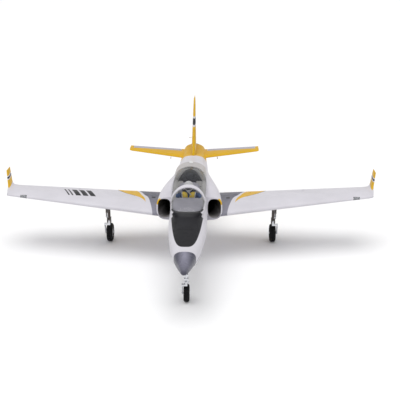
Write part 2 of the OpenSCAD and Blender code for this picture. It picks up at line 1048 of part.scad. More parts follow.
// Rudder with a pointed front edge that leaves room to swing
module rudder_wedge() {
    a = rudder_span[0];
    b = rudder_span[1];
    fa = rudder_front(a);
    fb = rudder_front(b);
    swing = 40 * tan(rudder_travel + 7);
    span_prism(
        a, [[fa + swing, -40], [fa, 0], [fa + swing, 40], [fa + 300, 40], [fa + 300, -40]],
        b, [[fb + swing, -40], [fb, 0], [fb + swing, 40], [fb + 300, 40], [fb + 300, -40]]
    );
}

module fin() {
    color(yellow)
        from_nose()
            as_mesh()
                difference() {
                    upright() fin_form();
                    body_form(-0.3);
                    upright() rudder_space(0.6);
                    servo_pocket(rudder_link);
                    translate([-60, tail_s + 0.2, 150]) cube([120, 100, rudder_span[0] - 150]);
                }
}

module rudder() {
    color(yellow)
        from_nose() {
            as_mesh()
                upright()
                    intersection() {
                        fin_form();
                        rudder_wedge();
                    }
            horn(rudder_link, 8, 19, 4.5);
        }
}

module servos() {
    color(black)
        from_nose() {
            both_sides() servo_body(flap_link);
            both_sides() servo_body(aileron_link);
            both_sides() servo_body(elevator_link);
            servo_body(rudder_link);
        }
}

// ---- Undercarriage --------------------------------------------------------------

trunnion_r = 2.5;

// Cheeks of a retract unit about a leg's pivot; the pivot pin runs along y
module retract_block(len, wide, low, high) {
    difference() {
        translate([-wide / 2, -len / 2, low]) cube([wide, len, high - low]);
        translate([-wide / 2 - 1, -8, low - 1]) cube([wide + 2, 16, high - low + 2]);
        rotate([90, 0, 0]) cylinder(h = len + 2, r = trunnion_r + 0.06, center = true);
    }
}

module retract_units() {
    color(slate)
        from_nose() {
            both_sides() translate(gear_pivot) retract_block(48, 22, -9, 9);
            translate(nose_pivot) rotate([0, 0, 90]) retract_block(40, 26, -6, 12);
            for (x = [20, -40])
                translate(nose_pivot + [x, -13, 1]) cube([20, 26, 3]);
        }
}

// Ledge in the nose that the front retract unit is let into
module nose_retract_seat() {
    translate(nose_pivot + [-40.2, -13.2, 1]) cube([80.4, 26.4, 24]);
    translate(nose_pivot + [-20.3, -13.2, -20]) cube([40.6, 26.4, 40]);
}

module leg_head() {
    rotate([90, 0, 0]) cylinder(h = 15, r = 7, center = true);
    rotate([90, 0, 0]) cylinder(h = 40, r = trunnion_r, center = true);
}

// Fork at a leg's foot: cheeks either side of a trailing arm's eye, joined above it
module leg_fork(eye, cheek, r, high) {
    difference() {
        union() {
            for (x = [-eye / 2 - 0.4 - cheek, eye / 2 + 0.4])
                translate([x, 0, 0]) {
                    rotate([0, 90, 0]) cylinder(h = cheek, r = r);
                    translate([0, -r, 0]) cube([cheek, 2 * r, high]);
                }
            translate([-eye / 2 - 1, -r, r + 1]) cube([eye + 2, 2 * r, high - r - 1]);
        }
        rotate([0, 90, 0]) cylinder(h = 60, r = 2.06, center = true);
    }
}

// Trailing arm: an eye between the cheeks, a bar over the wheel and a plate down its
// side to the axle. The plate stands at +x.
module trailing_arm(knuckle, axle, eye, eye_r, plate_x, plate, drop, half_w) {
    half = eye_r - 1;
    bar = 6;
    fall = axle - knuckle + [0, 0, drop + bar / 2];
    translate(knuckle) {
        rotate([0, 90, 0]) cylinder(h = eye, r = eye_r, center = true);
        rotate([0, 90, 0]) cylinder(h = eye + 11, r = 2, center = true);
        translate([-eye / 2 + 0.5, -half, -drop - 1]) cube([eye - 1, 2 * half, drop + 1]);
        translate([-eye / 2, -half - 0.5, -drop - bar]) cube([plate_x + plate + eye / 2, 2 * half + 1, bar]);
        translate([plate_x + 0.2, 0, -drop - bar / 2])
            rotate([atan2(fall[2], fall[1]), 0, 0])
                translate([0, 0, -half + 0.4]) cube([plate - 0.4, norm([fall[1], fall[2]]), 2 * half - 0.8]);
    }
    translate([knuckle[0] + plate_x, axle[1], axle[2]]) rotate([0, 90, 0]) cylinder(h = plate, r = eye_r);
    translate([knuckle[0] - half_w - 0.4, axle[1], axle[2]])
        rotate([0, 90, 0]) {
            cylinder(h = plate_x + plate + half_w + 2, r = 2);
            cylinder(h = 1.2, r = 3.6);
        }
}

module main_strut(flip) {
    color([0.3, 0.28, 0.27])
        from_nose()
            mirrored(flip) {
                translate(gear_pivot) leg_head();
                translate(main_knuckle + [0, 0, 14])
                    cylinder(h = gear_pivot[2] - main_knuckle[2] - 15, r = 6);
                translate(main_knuckle) leg_fork(8, 3.6, 6.6, 17);
            }
}

module main_link(flip) {
    color(steel)
        from_nose()
            mirrored(flip)
                trailing_arm(main_knuckle, main_axle, 8, 6, main_wheel_w / 2 + 2, 5, 9, main_wheel_w / 2);
}

// Turned section of a tyre about x: r outside, w wide, seat radius on the hub
module tyre_turn(r, w, seat) {
    c = 6;
    rotate([0, 90, 0])
        rotate_extrude($fn = 72)
            polygon([
                [seat, -w / 2 + 3], [seat + 3, -w / 2], [r - c, -w / 2 + 1], [r - 2, -w / 2 + 5],
                [r, -w / 4 + 1], [r, w / 4 - 1], [r - 2, w / 2 - 5], [r - c, w / 2 - 1],
                [seat + 3, w / 2], [seat, w / 2 - 3]
            ]);
}

module hub_turn(seat, w) {
    rotate([0, 90, 0])
        rotate_extrude($fn = 72)
            polygon([
                [2.06, -w / 2 + 1], [6, -w / 2 + 1], [7, -w / 2 + 4], [seat - 3, -w / 2 + 4],
                [seat - 1, -w / 2 + 2], [seat, -w / 2 + 3.1], [seat, w / 2 - 3.1], [seat - 1, w / 2 - 2],
                [seat - 3, w / 2 - 4], [7, w / 2 - 4], [6, w / 2 - 1], [2.06, w / 2 - 1]
            ]);
}

main_seat = 20;
nose_seat = 16;

module main_hub(flip) {
    color(steel) from_nose() mirrored(flip) translate(main_axle) hub_turn(main_seat, main_wheel_w);
}

module main_tyre(flip) {
    color(black)
        from_nose() mirrored(flip) translate(main_axle) tyre_turn(main_wheel_r, main_wheel_w, main_seat);
}

// Nose leg: the outer sleeve folds, the inner leg steers inside it
sleeve_bottom = 112;

module nose_strut() {
    color([0.3, 0.28, 0.27])
        from_nose()
            difference() {
                union() {
                    translate(nose_pivot) rotate([0, 0, 90]) leg_head();
                    translate([0, nose_pivot[1], sleeve_bottom])
                        cylinder(h = nose_pivot[2] - sleeve_bottom - 3, r = 6.5);
                }
                translate([0, nose_pivot[1], sleeve_bottom - 1])
                    cylinder(h = nose_pivot[2] - sleeve_bottom - 8, r = 4.06);
            }
}

module nose_fork() {
    color(steel)
        from_nose() {
            translate(nose_knuckle + [0, 0, 11]) cylinder(h = 158 - nose_knuckle[2] - 11, r = 4);
            translate(nose_knuckle) leg_fork(7, 3, 5.6, 14);
            translate([-6, nose_pivot[1] - 6, 100]) cube([12, 12, 9]);
        }
}

module nose_link() {
    color(steel)
        from_nose()
            mirror([1, 0, 0])
                trailing_arm(nose_knuckle, nose_axle, 7, 5, nose_wheel_w / 2 + 2, 4, 8, nose_wheel_w / 2);
}

module nose_hub() {
    color(steel) from_nose() translate(nose_axle) hub_turn(nose_seat, nose_wheel_w);
}

module nose_tyre() {
    color(black) from_nose() translate(nose_axle) tyre_turn(nose_wheel_r, nose_wheel_w, nose_seat);
}

nose_cone();
fuselage_front();
fuselage_rear();
exhaust_nozzle();
thrust_tube();
intake_ducts();
fan_housing();
fan_motor();
battery_pack();
speed_controller();
wing_panel(false);  // wing_left
wing_panel(true);  // wing_right
wing_spars();
wing_lights();
fin();
stabilisers();
servos();
retract_units();
hatch_frame();
glare_deck();
windshield();
rear_canopy();
cockpit_tub();
pilot();
hatch_latch();
fan_rotor();
aileron(false);  // aileron_left
aileron(true);  // aileron_right
flap(false);  // flap_left
flap(true);  // flap_right
elevator(false);  // elevator_left
elevator(true);  // elevator_right
rudder();
servo_arm(aileron_link);  // aileron_arm_left
mirrored(true) servo_arm(aileron_link);  // aileron_arm_right
servo_arm(flap_link);  // flap_arm_left
mirrored(true) servo_arm(flap_link);  // flap_arm_right
servo_arm(elevator_link);  // elevator_arm_left
mirrored(true) servo_arm(elevator_link);  // elevator_arm_right
servo_arm(rudder_link);  // rudder_arm
push_rod(aileron_link);  // aileron_rod_left
mirrored(true) push_rod(aileron_link);  // aileron_rod_right
push_rod(flap_link);  // flap_rod_left
mirrored(true) push_rod(flap_link);  // flap_rod_right
push_rod(elevator_link);  // elevator_rod_left
mirrored(true) push_rod(elevator_link);  // elevator_rod_right
push_rod(rudder_link);  // rudder_rod
nose_strut();
nose_fork();
nose_link();
nose_hub();
nose_tyre();
main_strut(false);  // main_strut_left
main_strut(true);  // main_strut_right
main_link(false);  // main_link_left
main_link(true);  // main_link_right
main_hub(false);  // main_hub_left
main_hub(true);  // main_hub_right
main_tyre(false);  // main_tyre_left
main_tyre(true);  // main_tyre_right
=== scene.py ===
"""Looks of the ducted-fan model jet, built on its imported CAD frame.

The nose points along -Y and the plane's left wing along +X. Shapes are given in
millimetres by station, the distance aft of the nose tip, and placed in metres.
"""

import json
from functools import reduce
from math import ceil, copysign, cos, dist, pi, radians, sin, sqrt, tan

import bmesh
import bpy
import numpy as np
from mathutils import Matrix, Vector


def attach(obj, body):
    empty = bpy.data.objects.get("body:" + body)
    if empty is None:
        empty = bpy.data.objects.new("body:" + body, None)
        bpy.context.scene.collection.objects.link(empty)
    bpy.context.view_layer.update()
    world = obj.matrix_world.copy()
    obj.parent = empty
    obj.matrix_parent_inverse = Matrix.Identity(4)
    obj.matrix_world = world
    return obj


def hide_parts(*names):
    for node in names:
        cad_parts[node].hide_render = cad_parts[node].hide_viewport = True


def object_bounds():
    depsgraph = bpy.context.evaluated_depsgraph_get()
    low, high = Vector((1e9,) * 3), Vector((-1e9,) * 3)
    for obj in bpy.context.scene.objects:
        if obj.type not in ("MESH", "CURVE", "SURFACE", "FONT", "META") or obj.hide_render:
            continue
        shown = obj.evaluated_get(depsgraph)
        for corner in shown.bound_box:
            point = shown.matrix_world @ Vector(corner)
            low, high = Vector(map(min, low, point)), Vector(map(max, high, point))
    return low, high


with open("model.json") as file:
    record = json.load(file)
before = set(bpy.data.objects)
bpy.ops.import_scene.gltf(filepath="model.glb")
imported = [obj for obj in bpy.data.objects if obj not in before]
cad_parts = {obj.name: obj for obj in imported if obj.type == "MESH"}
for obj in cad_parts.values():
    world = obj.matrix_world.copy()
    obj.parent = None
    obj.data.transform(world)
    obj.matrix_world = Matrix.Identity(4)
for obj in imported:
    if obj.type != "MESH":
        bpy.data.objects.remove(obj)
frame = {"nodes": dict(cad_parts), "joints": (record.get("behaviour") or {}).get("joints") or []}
cad_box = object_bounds()
nodes = frame["nodes"]
joints = {j["name"]: j for j in frame["joints"]}

MM = 0.001
NOSE_Y = cad_box[0].y
TAU = 2 * pi


def place(p):
    """Frame position in metres of a point (x, station, height) in millimetres."""
    return Vector((p[0] * MM, NOSE_Y + p[1] * MM, p[2] * MM))


def unplace(p):
    """Point (x, station, height) in millimetres of a frame position."""
    return np.array([p[0] / MM, (p[1] - NOSE_Y) / MM, p[2] / MM])


def pivot_of(joint):
    return unplace(joints[joint]["pos_m"])


# ---- Mesh tools ----


def link(made):
    bpy.context.scene.collection.objects.link(made)
    return made


def add_mesh(name, points, faces):
    """New object from points in millimetres."""
    mesh = bpy.data.meshes.new(name)
    mesh.from_pydata([place(p) for p in points], [], faces)
    mesh.update()
    return link(bpy.data.objects.new(name, mesh))


def fix_normals(piece, weld=0.0):
    """Turns a piece's faces outwards, after joining points closer than weld, in metres."""
    bm = bmesh.new()
    bm.from_mesh(piece.data)
    if weld:
        bmesh.ops.remove_doubles(bm, verts=bm.verts, dist=weld)
    bmesh.ops.recalc_face_normals(bm, faces=bm.faces)
    bm.to_mesh(piece.data)
    bm.free()
    return piece


def loft(name, rings, closed=True, caps=(True, True)):
    """Skin through rings of points; closed joins each ring's last point to its first."""
    count = len(rings[0])
    points = [p for ring in rings for p in ring]
    faces = []
    for i in range(len(rings) - 1):
        for k in range(count if closed else count - 1):
            j = (k + 1) % count
            faces.append((i * count + k, i * count + j, (i + 1) * count + j, (i + 1) * count + k))
    if caps[0]:
        faces.append(tuple(range(count - 1, -1, -1)))
    if caps[1]:
        last = (len(rings) - 1) * count
        faces.append(tuple(range(last, last + count)))
    return fix_normals(add_mesh(name, points, faces))


def shell(name, outer, inner):
    """Tube with a wall, closed at both ends, from its outer and inner rings."""
    return fix_normals(loft(name, outer + inner[::-1] + outer[:1], caps=(False, False)), 1e-7)


def apply(piece):
    """Makes a piece's modifiers part of its mesh."""
    graph = bpy.context.evaluated_depsgraph_get()
    mesh = bpy.data.meshes.new_from_object(piece.evaluated_get(graph))
    piece.modifiers.clear()
    old, piece.data = piece.data, mesh
    bpy.data.meshes.remove(old)
    return piece


def boolean(piece, operation, cutters):
    for cutter in cutters:
        step = piece.modifiers.new(operation, "BOOLEAN")
        step.operation, step.object, step.solver = operation, cutter, "MANIFOLD"
    apply(piece)
    for cutter in cutters:
        bpy.data.objects.remove(cutter)
    return piece


def cut(piece, *cutters):
    return boolean(piece, "DIFFERENCE", cutters)


def keep(piece, cutter):
    return boolean(piece, "INTERSECT", [cutter])


def thicken(piece, wall):
    """Gives an open skin a wall, inwards."""
    step = piece.modifiers.new("wall", "SOLIDIFY")
    step.thickness, step.offset = wall * MM, -1
    return apply(piece)


def bevel(piece, width, segments=2, angle=40):
    step = piece.modifiers.new("edges", "BEVEL")
    step.width, step.segments, step.limit_method = width * MM, segments, "ANGLE"
    step.angle_limit = radians(angle)
    return apply(piece)


def join(name, pieces):
    """One object from several, each keeping its materials."""
    bm = bmesh.new()
    slots = []
    for piece in pieces:
        offset = []
        for material in piece.data.materials:
            if material not in slots:
                slots.append(material)
            offset.append(slots.index(material))
        first = len(bm.faces)
        bm.from_mesh(piece.data)
        bm.faces.ensure_lookup_table()
        for face in bm.faces[first:]:
            face.material_index = offset[face.material_index] if offset else 0
    mesh = bpy.data.meshes.new(name)
    bm.to_mesh(mesh)
    bm.free()
    for material in slots:
        mesh.materials.append(material)
    for piece in pieces:
        bpy.data.objects.remove(piece)
    return link(bpy.data.objects.new(name, mesh))


looks = {}


def set_material(piece, name):
    piece.data.materials.clear()
    piece.data.materials.append(looks[name])
    return piece


def finish(piece, body, material, replaces=(), angle=35):
    """Shades a piece, gives it a material by name and hangs it on its body."""
    piece.data.shade_smooth()
    piece.data.set_sharp_from_angle(angle=radians(angle))
    if material:
        set_material(piece, material)
    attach(piece, body)
    if replaces:
        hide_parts(*replaces)
    return piece


def prism_x(outline, half=260):
    """Block along x given by its side outline of (station, height)."""
    return loft("prism", [[(x, s, z) for s, z in outline] for x in (-half, half)])


def prism_z(outline, low, high):
    """Upright block given by its outline from above, of (x, station)."""
    return loft("prism", [[(x, s, z) for x, s in outline] for z in (low, high)])


def wedge(x_a, outline_a, x_b, outline_b):
    """Block between two side outlines at two places along the span."""
    return loft("wedge", [[(x_a, s, z) for s, z in outline_a], [(x_b, s, z) for s, z in outline_b]])


def box(low, high):
    (x0, s0, z0), (x1, s1, z1) = low, high
    return prism_z([(x0, s0), (x1, s0), (x1, s1), (x0, s1)], z0, z1)


def circle(centre, side, other, r, count):
    """Points round a centre, in the plane of two unit directions."""
    turns = [TAU * k / count for k in range(count)]
    return [centre + (side * cos(a) + other * sin(a)) * r for a in turns]


def turned(name, centre, axis, profile, count=64, across=(0, 0, 1)):
    """Surface of revolution from a profile of (distance along axis, radius)."""
    axis, side = Vector(axis).normalized(), Vector(across)
    side = (side - axis * side.dot(axis)).normalized()
    other = axis.cross(side)
    rings = []
    for along_axis, radius in profile:
        middle = Vector(centre) + axis * along_axis
        rings.append(circle(middle, side, other, max(radius, 1e-4), count))
    return loft(name, rings)


def tube_along(name, path, radius, count=12):
    """Round bar along a path of points, with one radius or one for each point."""
    path = [Vector(p) for p in path]
    rings, side = [], None
    for i, p in enumerate(path):
        ahead = (path[min(i + 1, len(path) - 1)] - path[max(i - 1, 0)]).normalized()
        if side is None:
            side = ahead.orthogonal()
        side = (side - ahead * side.dot(ahead)).normalized()
        r = radius[i] if isinstance(radius, list) else radius
        rings.append(circle(p, side, ahead.cross(side), r, count))
    return loft(name, rings)


def squared(a, power):
    """Cosine and sine of a turn, each raised to a power that squares off its curve."""
    c, v = cos(a), sin(a)
    return copysign(abs(c) ** power, c), copysign(abs(v) ** power, v)


def oval(cx, cy, w, h, n, count):
    """Points round an oval of exponent n: 2 for an ellipse, more for squarer."""
    turns = (squared(TAU * k / count, 2 / n) for k in range(count))
    return [(cx + w * c, cy + h * v) for c, v in turns]


# ---- Shader tools ----


class Shader:
    """One material, with short calls for the nodes that drive it."""

    def __init__(self, name, colour, **fixed):
        self.material = looks[name] = bpy.data.materials.new(name)
        self.material.use_nodes = True
        self.tree = self.material.node_tree
        self.surface = self.tree.nodes["Principled BSDF"]
        self.set("Base Color", (*colour, 1))
        for key, value in fixed.items():
            self.set(key.replace("_", " "), value)
        place_node = self.tree.nodes.new("ShaderNodeTexCoord")
        self.position = place_node.outputs["Object"]
        split = self.tree.nodes.new("ShaderNodeSeparateXYZ")
        self.tree.links.new(self.position, split.inputs[0])
        self.x, self.z = split.outputs[0], split.outputs[2]
        self.s = self.math("SUBTRACT", split.outputs[1], NOSE_Y)

    def set(self, key, value):
        self._feed(self.surface.inputs[key], value)

    def _feed(self, socket, value):
        """Links a socket to another, or gives it a fixed value."""
        if isinstance(value, bpy.types.NodeSocket):
            self.tree.links.new(value, socket)
        elif value is not None:
            socket.default_value = value

    def math(self, operation, a, b=None, c=None):
        node = self.tree.nodes.new("ShaderNodeMath")
        node.operation = operation
        for socket, value in zip(node.inputs, (a, b, c)):
            self._feed(socket, value)
        return node.outputs[0]

    def sub(self, a, b):
        return self.math("SUBTRACT", a, b)

    def both(self, *masks):
        """1 where every mask is."""
        return reduce(lambda a, b: self.math("MINIMUM", a, b), masks)

    def either(self, *masks):
        return reduce(lambda a, b: self.math("MAXIMUM", a, b), masks)

    def above(self, value, limit, edge=0.0003):
        """1 where value is over limit, in metres, with a soft edge."""
        return self.spread(self.sub(value, limit), 0, 1, -edge, edge)

    def below(self, value, limit, edge=0.0003):
        return self.sub(1.0, self.above(value, limit, edge))

    def within(self, value, low, high, edge=0.0003):
        return self.both(self.above(value, low, edge), self.below(value, high, edge))

    def curve(self, value, points):
        """Smooth curve through (input, output) points in millimetres, as metres."""
        a = [p[0] for p in points]
        b = [p[1] for p in points]
        node = self.tree.nodes.new("ShaderNodeFloatCurve")
        line = node.mapping.curves[0]
        span, rise = a[-1] - a[0], max(b) - min(b)
        for i, p in enumerate(points):
            spot = ((p[0] - a[0]) / span, (p[1] - min(b)) / rise)
            if i in (0, len(points) - 1):
                line.points[0 if i == 0 else -1].location = spot
            else:
                line.points.new(*spot)
        node.mapping.update()
        share = self.math("DIVIDE", self.sub(value, a[0] * MM), span * MM)
        self._feed(node.inputs["Value"], self.math("MINIMUM", self.math("MAXIMUM", share, 0.0), 1.0))
        return self.math("MULTIPLY_ADD", node.outputs[0], rise * MM, min(b) * MM)

    def mix(self, mask, a, b):
        node = self.tree.nodes.new("ShaderNodeMix")
        node.data_type = "RGBA"
        for socket, value in zip((node.inputs[0], node.inputs[6], node.inputs[7]), (mask, a, b)):
            if isinstance(value, tuple) and len(value) == 3:
                value = (*value, 1)
            self._feed(socket, value)
        return node.outputs[2]

    def noise(self, scale, detail=3, stretch=(1, 1, 1)):
        mapping = self.tree.nodes.new("ShaderNodeMapping")
        mapping.inputs["Scale"].default_value = stretch
        self.tree.links.new(self.position, mapping.inputs[0])
        node = self.tree.nodes.new("ShaderNodeTexNoise")
        node.inputs["Scale"].default_value = scale
        node.inputs["Detail"].default_value = detail
        self.tree.links.new(mapping.outputs[0], node.inputs["Vector"])
        return node.outputs[0]

    def cells(self, scale):
        node = self.tree.nodes.new("ShaderNodeTexVoronoi")
        node.inputs["Scale"].default_value = scale
        self.tree.links.new(self.position, node.inputs["Vector"])
        return node.outputs["Distance"]

    def spread(self, value, low, high, start=0.35, end=0.65):
        """Value mapped to a range, for roughness and tints."""
        node = self.tree.nodes.new("ShaderNodeMapRange")
        self._feed(node.inputs["Value"], value)
        for key, number in (("From Min", start), ("From Max", end), ("To Min", low), ("To Max", high)):
            node.inputs[key].default_value = number
        return node.outputs[0]

    def bump(self, height, distance, strength=0.5):
        node = self.tree.nodes.new("ShaderNodeBump")
        node.inputs["Strength"].default_value = strength
        node.inputs["Distance"].default_value = distance * MM
        self.tree.links.new(height, node.inputs["Height"])
        self.tree.links.new(node.outputs[0], self.surface.inputs["Normal"])

    def tint(self, colour, amount=0.06, scale=9, detail=4):
        """Colour with slight cloudy variation."""
        shade = self.spread(self.noise(scale, detail), 1 - amount, 1 + amount * 0.4)
        node = self.tree.nodes.new("ShaderNodeVectorMath")
        node.operation = "SCALE"
        self._feed(node.inputs[0], colour[:3] if isinstance(colour, tuple) else colour)
        self.tree.links.new(shade, node.inputs["Scale"])
        return node.outputs[0]


WHITE = (0.62, 0.605, 0.65)
YELLOW = (0.66, 0.385, 0.004)
BLACK = (0.009, 0.009, 0.012)


def textured(shader, colour, low, high, amount, cloud, grain, depth):
    """Gives a material its cloudy colour, uneven gloss and fine grain."""
    shader.set("Base Color", shader.tint(colour, amount, cloud))
    shader.set("Roughness", shader.spread(shader.noise(90, 4), low, high))
    shader.bump(shader.noise(grain, 4), depth, 0.4)


def foam_shader(name, paint=None, base=WHITE):
    """Painted bead foam: fine cells under satin paint, with paint(shader) for its colours."""
    shader = Shader(name, base, Specular_IOR_Level=0.22)
    shader.set("Base Color", shader.tint(paint(shader) if paint else base, 0.05, 11))
    shader.set("Roughness", shader.spread(shader.noise(60, 5), 0.34, 0.5))
    shader.bump(shader.cells(420), 0.05, 0.35)


def plain_shader(name, colour, low, high, grain=240, depth=0.03, **fixed):
    """Moulded plastic or finished metal of one colour."""
    textured(Shader(name, colour, **fixed), colour, low, high, 0.12, 24, grain * 4, depth)


def painted(name, paint, low, high, base, grain=900, depth=0.02):
    """Plastic or cloth in the colours of paint(shader)."""
    shader = Shader(name, base, Specular_IOR_Level=0.2)
    textured(shader, paint(shader), low, high, 0.08, 18, grain, depth)


def glass_shader(name, colour, alpha, low, high):
    shader = Shader(name, colour, Alpha=alpha, Specular_IOR_Level=0.7)
    shader.set("Roughness", shader.spread(shader.noise(6), low, high))
    shader.set("Base Color", shader.tint(colour, 0.1, 8))


# ---- Fuselage form ----

NOSE_LEN, SPLIT, TAIL = 93, 560, 1375
MOUTH, HATCH_FRONT, HATCH_BACK, SILL = 570, 225, 800, 283
WALL = 5
DUCT_Z = joints["fan_spin"]["pos_m"][2] / MM
FAN = pivot_of("fan_spin")[1] - 14

# Station, half width, low, widest and top height
NOSE_ROWS = [
    (0, 4, 195, 200, 206), (8, 10, 190, 201, 212), (30, 17.8, 186, 204, 221),
    (60, 27, 182, 208, 229), (93, 36, 178, 211, 236),
]
BODY_ROWS = [
    (93, 36, 178, 211, 236), (140, 45, 170, 212, 246), (200, 54, 162, 214, 259),
    (260, 60, 154, 216, 272), (320, 65, 148, 217, 287), (420, 67, 143, 217, 290),
    (570, 67, 140, 216, 290), (700, 68, 138, 214, 290), (850, 68, 140, 212, 286),
    (1000, 66, 147, 210, 274), (1150, 60, 154, 210, 264), (1300, 52, 160, 211, 259.5),
    (1375, 49, 163, 211, 259),
]
HUMP_ROWS = [
    (296, 12, 262, 276, 281), (306, 30, 270, 284, 289), (314, 46, 270, 284, 294),
    (328, 54, 270, 284, 303), (350, 58, 270, 284, 313), (400, 61, 270, 284, 331),
    (450, 63, 270, 284, 347),
    (500, 64, 270, 284, 359), (560, 65, 270, 284, 364), (630, 66, 268, 283, 357),
    (700, 66, 266, 282, 342), (850, 62, 262, 278, 323), (1000, 52, 250, 264, 289),
    (1150, 42, 238, 252, 265), (1230, 34, 234, 246, 258),
]
# Station, centre x, half width, low and top height of an intake's fairing
CHEEK_ROWS = [
    (570, 75, 47.5, 176, 266), (650, 68, 49, 161, 279), (720, 59, 48, 149, 281),
    (800, 49, 46, 143, 276), (900, 36, 43, 145, 268), (1000, 22, 40, 151, 262),
    (1080, 12, 36, 158, 258),
]


def smooth_row(rows, s):
    """Row of a table at station s, on a smooth cubic through its rows."""
    t = np.array(rows, float)
    i = int(np.clip(np.searchsorted(t[:, 0], s) - 1, 0, len(t) - 2))

    def slope(k):
        a, b = max(0, k - 1), min(len(t) - 1, k + 1)
        return (t[b] - t[a]) / (t[b][0] - t[a][0])

    h = t[i + 1][0] - t[i][0]
    u = (s - t[i][0]) / h
    return (
        t[i] * (2 * u**3 - 3 * u**2 + 1) + slope(i) * h * (u**3 - 2 * u**2 + u)
        + t[i + 1] * (3 * u**2 - 2 * u**3) + slope(i + 1) * h * (u**3 - u**2)
    )


def oval_distance(x, z, cx, w, low, mid, top, n):
    """Signed distance, roughly, to a squared oval."""
    dx, dz = x - cx, z - mid
    rise = np.where(dz > 0, top - mid, mid - low)
    f = (np.abs(dx / w) ** n + np.abs(dz / rise) ** n) ** (1 / n)
    f = np.maximum(f, 1e-3)
    return np.hypot(dx, dz) * (1 - 1 / f)


def soft_min(a, b, k):
    h = np.clip(0.5 + 0.5 * (b - a) / k, 0, 1)
    return b * (1 - h) + a * h - k * h * (1 - h)


def body_distance(s, x, z, cheeks=True, body=True):
    """Signed distance to the fuselage's outline at station s."""
    d = np.full(np.shape(x), 1e3)
    if body:
        rows = NOSE_ROWS if s < NOSE_LEN else BODY_ROWS
        _, w, low, mid, top = smooth_row(rows, s)
        d = oval_distance(x, z, 0, w, low, mid, top, 2.7)
    if HUMP_ROWS[0][0] <= s <= HUMP_ROWS[-1][0]:
        _, w, low, mid, top = smooth_row(HUMP_ROWS, s)
        d = soft_min(d, oval_distance(x, z, 0, w, low, mid, top, 2.1), 5)
    if cheeks and MOUTH <= s <= CHEEK_ROWS[-1][0]:
        _, cx, w, low, top = smooth_row(CHEEK_ROWS, s)
        lip = 4 - sqrt(max(0, 16 - max(0, 4 - (s - MOUTH)) ** 2))
        w, low, top = w - lip, low + lip, top - lip
        for side in (-1, 1):
            cheek = oval_distance(x, z, side * cx, w, low, (low + top) / 2, top, 2.8)
            d = soft_min(d, cheek, 14)
    return d


def body_ring(s, inset=0.0, count=144, **parts):
    """Outline of the fuselage at station s, found along rays from its middle."""
    turn = TAU * np.arange(count) / count - pi / 2
    cx, cz = np.cos(turn), np.sin(turn)
    if parts.get("body", True):
        middle = smooth_row(NOSE_ROWS if s < NOSE_LEN else BODY_ROWS, s)[3] + 4
    else:
        middle = smooth_row(HUMP_ROWS, s)[3]
    near, far = np.full(count, 1.0), np.full(count, 240.0)
    for _ in range(34):
        r = (near + far) / 2
        outside = body_distance(s, r * cx, middle + r * cz, **parts) > -inset
        far, near = np.where(outside, r, far), np.where(outside, near, r)
    return [(near[k] * cx[k], s, middle + near[k] * cz[k]) for k in range(count)]


def steps(a, b, gap):
    n = max(1, ceil((b - a) / gap))
    return [a + (b - a) * i / n for i in range(n + 1)]


def hatch_outline(gap):
    """Side outline of everything that lifts off with the hatch."""
    return [
        (HATCH_FRONT + gap, 500), (HATCH_FRONT + gap, 255 + gap), (313, SILL + gap),
        (HATCH_BACK - gap, SILL + gap), (HATCH_BACK - gap, 500),
    ]


def nose_ring(s, inset=0.0):
    """Ring of the nose cone, whose tip is rounded off."""
    tip = NOSE_ROWS[1][0]
    ring = body_ring(max(s, tip), inset, count=96)
    if s >= tip:
        return ring
    share = sqrt(max(0.0, 1 - ((tip - s) / tip) ** 2)) * 0.999 + 0.001
    middle = 200.5
    return [(p[0] * share, s, middle + (p[2] - middle) * share) for p in ring]


def make_nose():
    places = [0.02, 0.3, 0.9, 2, 3.5, 5.5] + steps(8, NOSE_LEN - 0.4, 4)
    rings = [nose_ring(s) for s in places]
    rings.append(nose_ring(NOSE_LEN - 0.2, 0.6))
    skin = loft("nose_cone_skin", rings)
    return finish(skin, "airframe", "nose_plastic", ["nose_cone"])


def duct_ring(t, outset, side):
    """Ring of an inlet passage at share t of the way from its mouth to the fan."""
    e = t * t * (3 - 2 * t)
    s = MOUTH + 0.3 + (FAN - MOUTH - 8) * t
    w, h = 24.5 + 20.5 * e + outset, 37 + 8 * e + outset
    ring = oval(92.5 * (1 - e), 221 + (DUCT_Z - 221) * e, w, h, 2.9 - 0.9 * e, 48)
    return [(side * x, s, z) for x, z in ring]


def make_ducts():
    """Inlet passages: a skin from each mouth, over its lip, to the fan's face."""
    pieces = []
    for side in (-1, 1):
        rings = [duct_ring(t, 0.9, side) for t in steps(0.012, 0.97, 0.03)]
        pieces.append(loft("duct", rings, caps=(False, False)))
    ducts = thicken(join("intake_passages", pieces), 0.8)
    return finish(ducts, "airframe", "duct_plastic", ["intake_ducts"])


def mouth_cutters():
    """Plugs the shape of the two inlet passages, for boring the skin."""
    plugs = []
    for side in (-1, 1):
        rings = [duct_ring(t, 0.2, side) for t in (0, 0.05, 0.1)]
        plugs.append(loft("plug", [[(x, MOUTH - 8, z) for x, _, z in rings[0]]] + rings))
    return plugs


def skin_between(name, places, insets, count=144, **parts):
    """Wall of the fuselage's form over some stations, between two insets."""
    outer, inner = ([body_ring(s, inset, count, **parts) for s in places] for inset in insets)
    return shell(name, outer, inner)


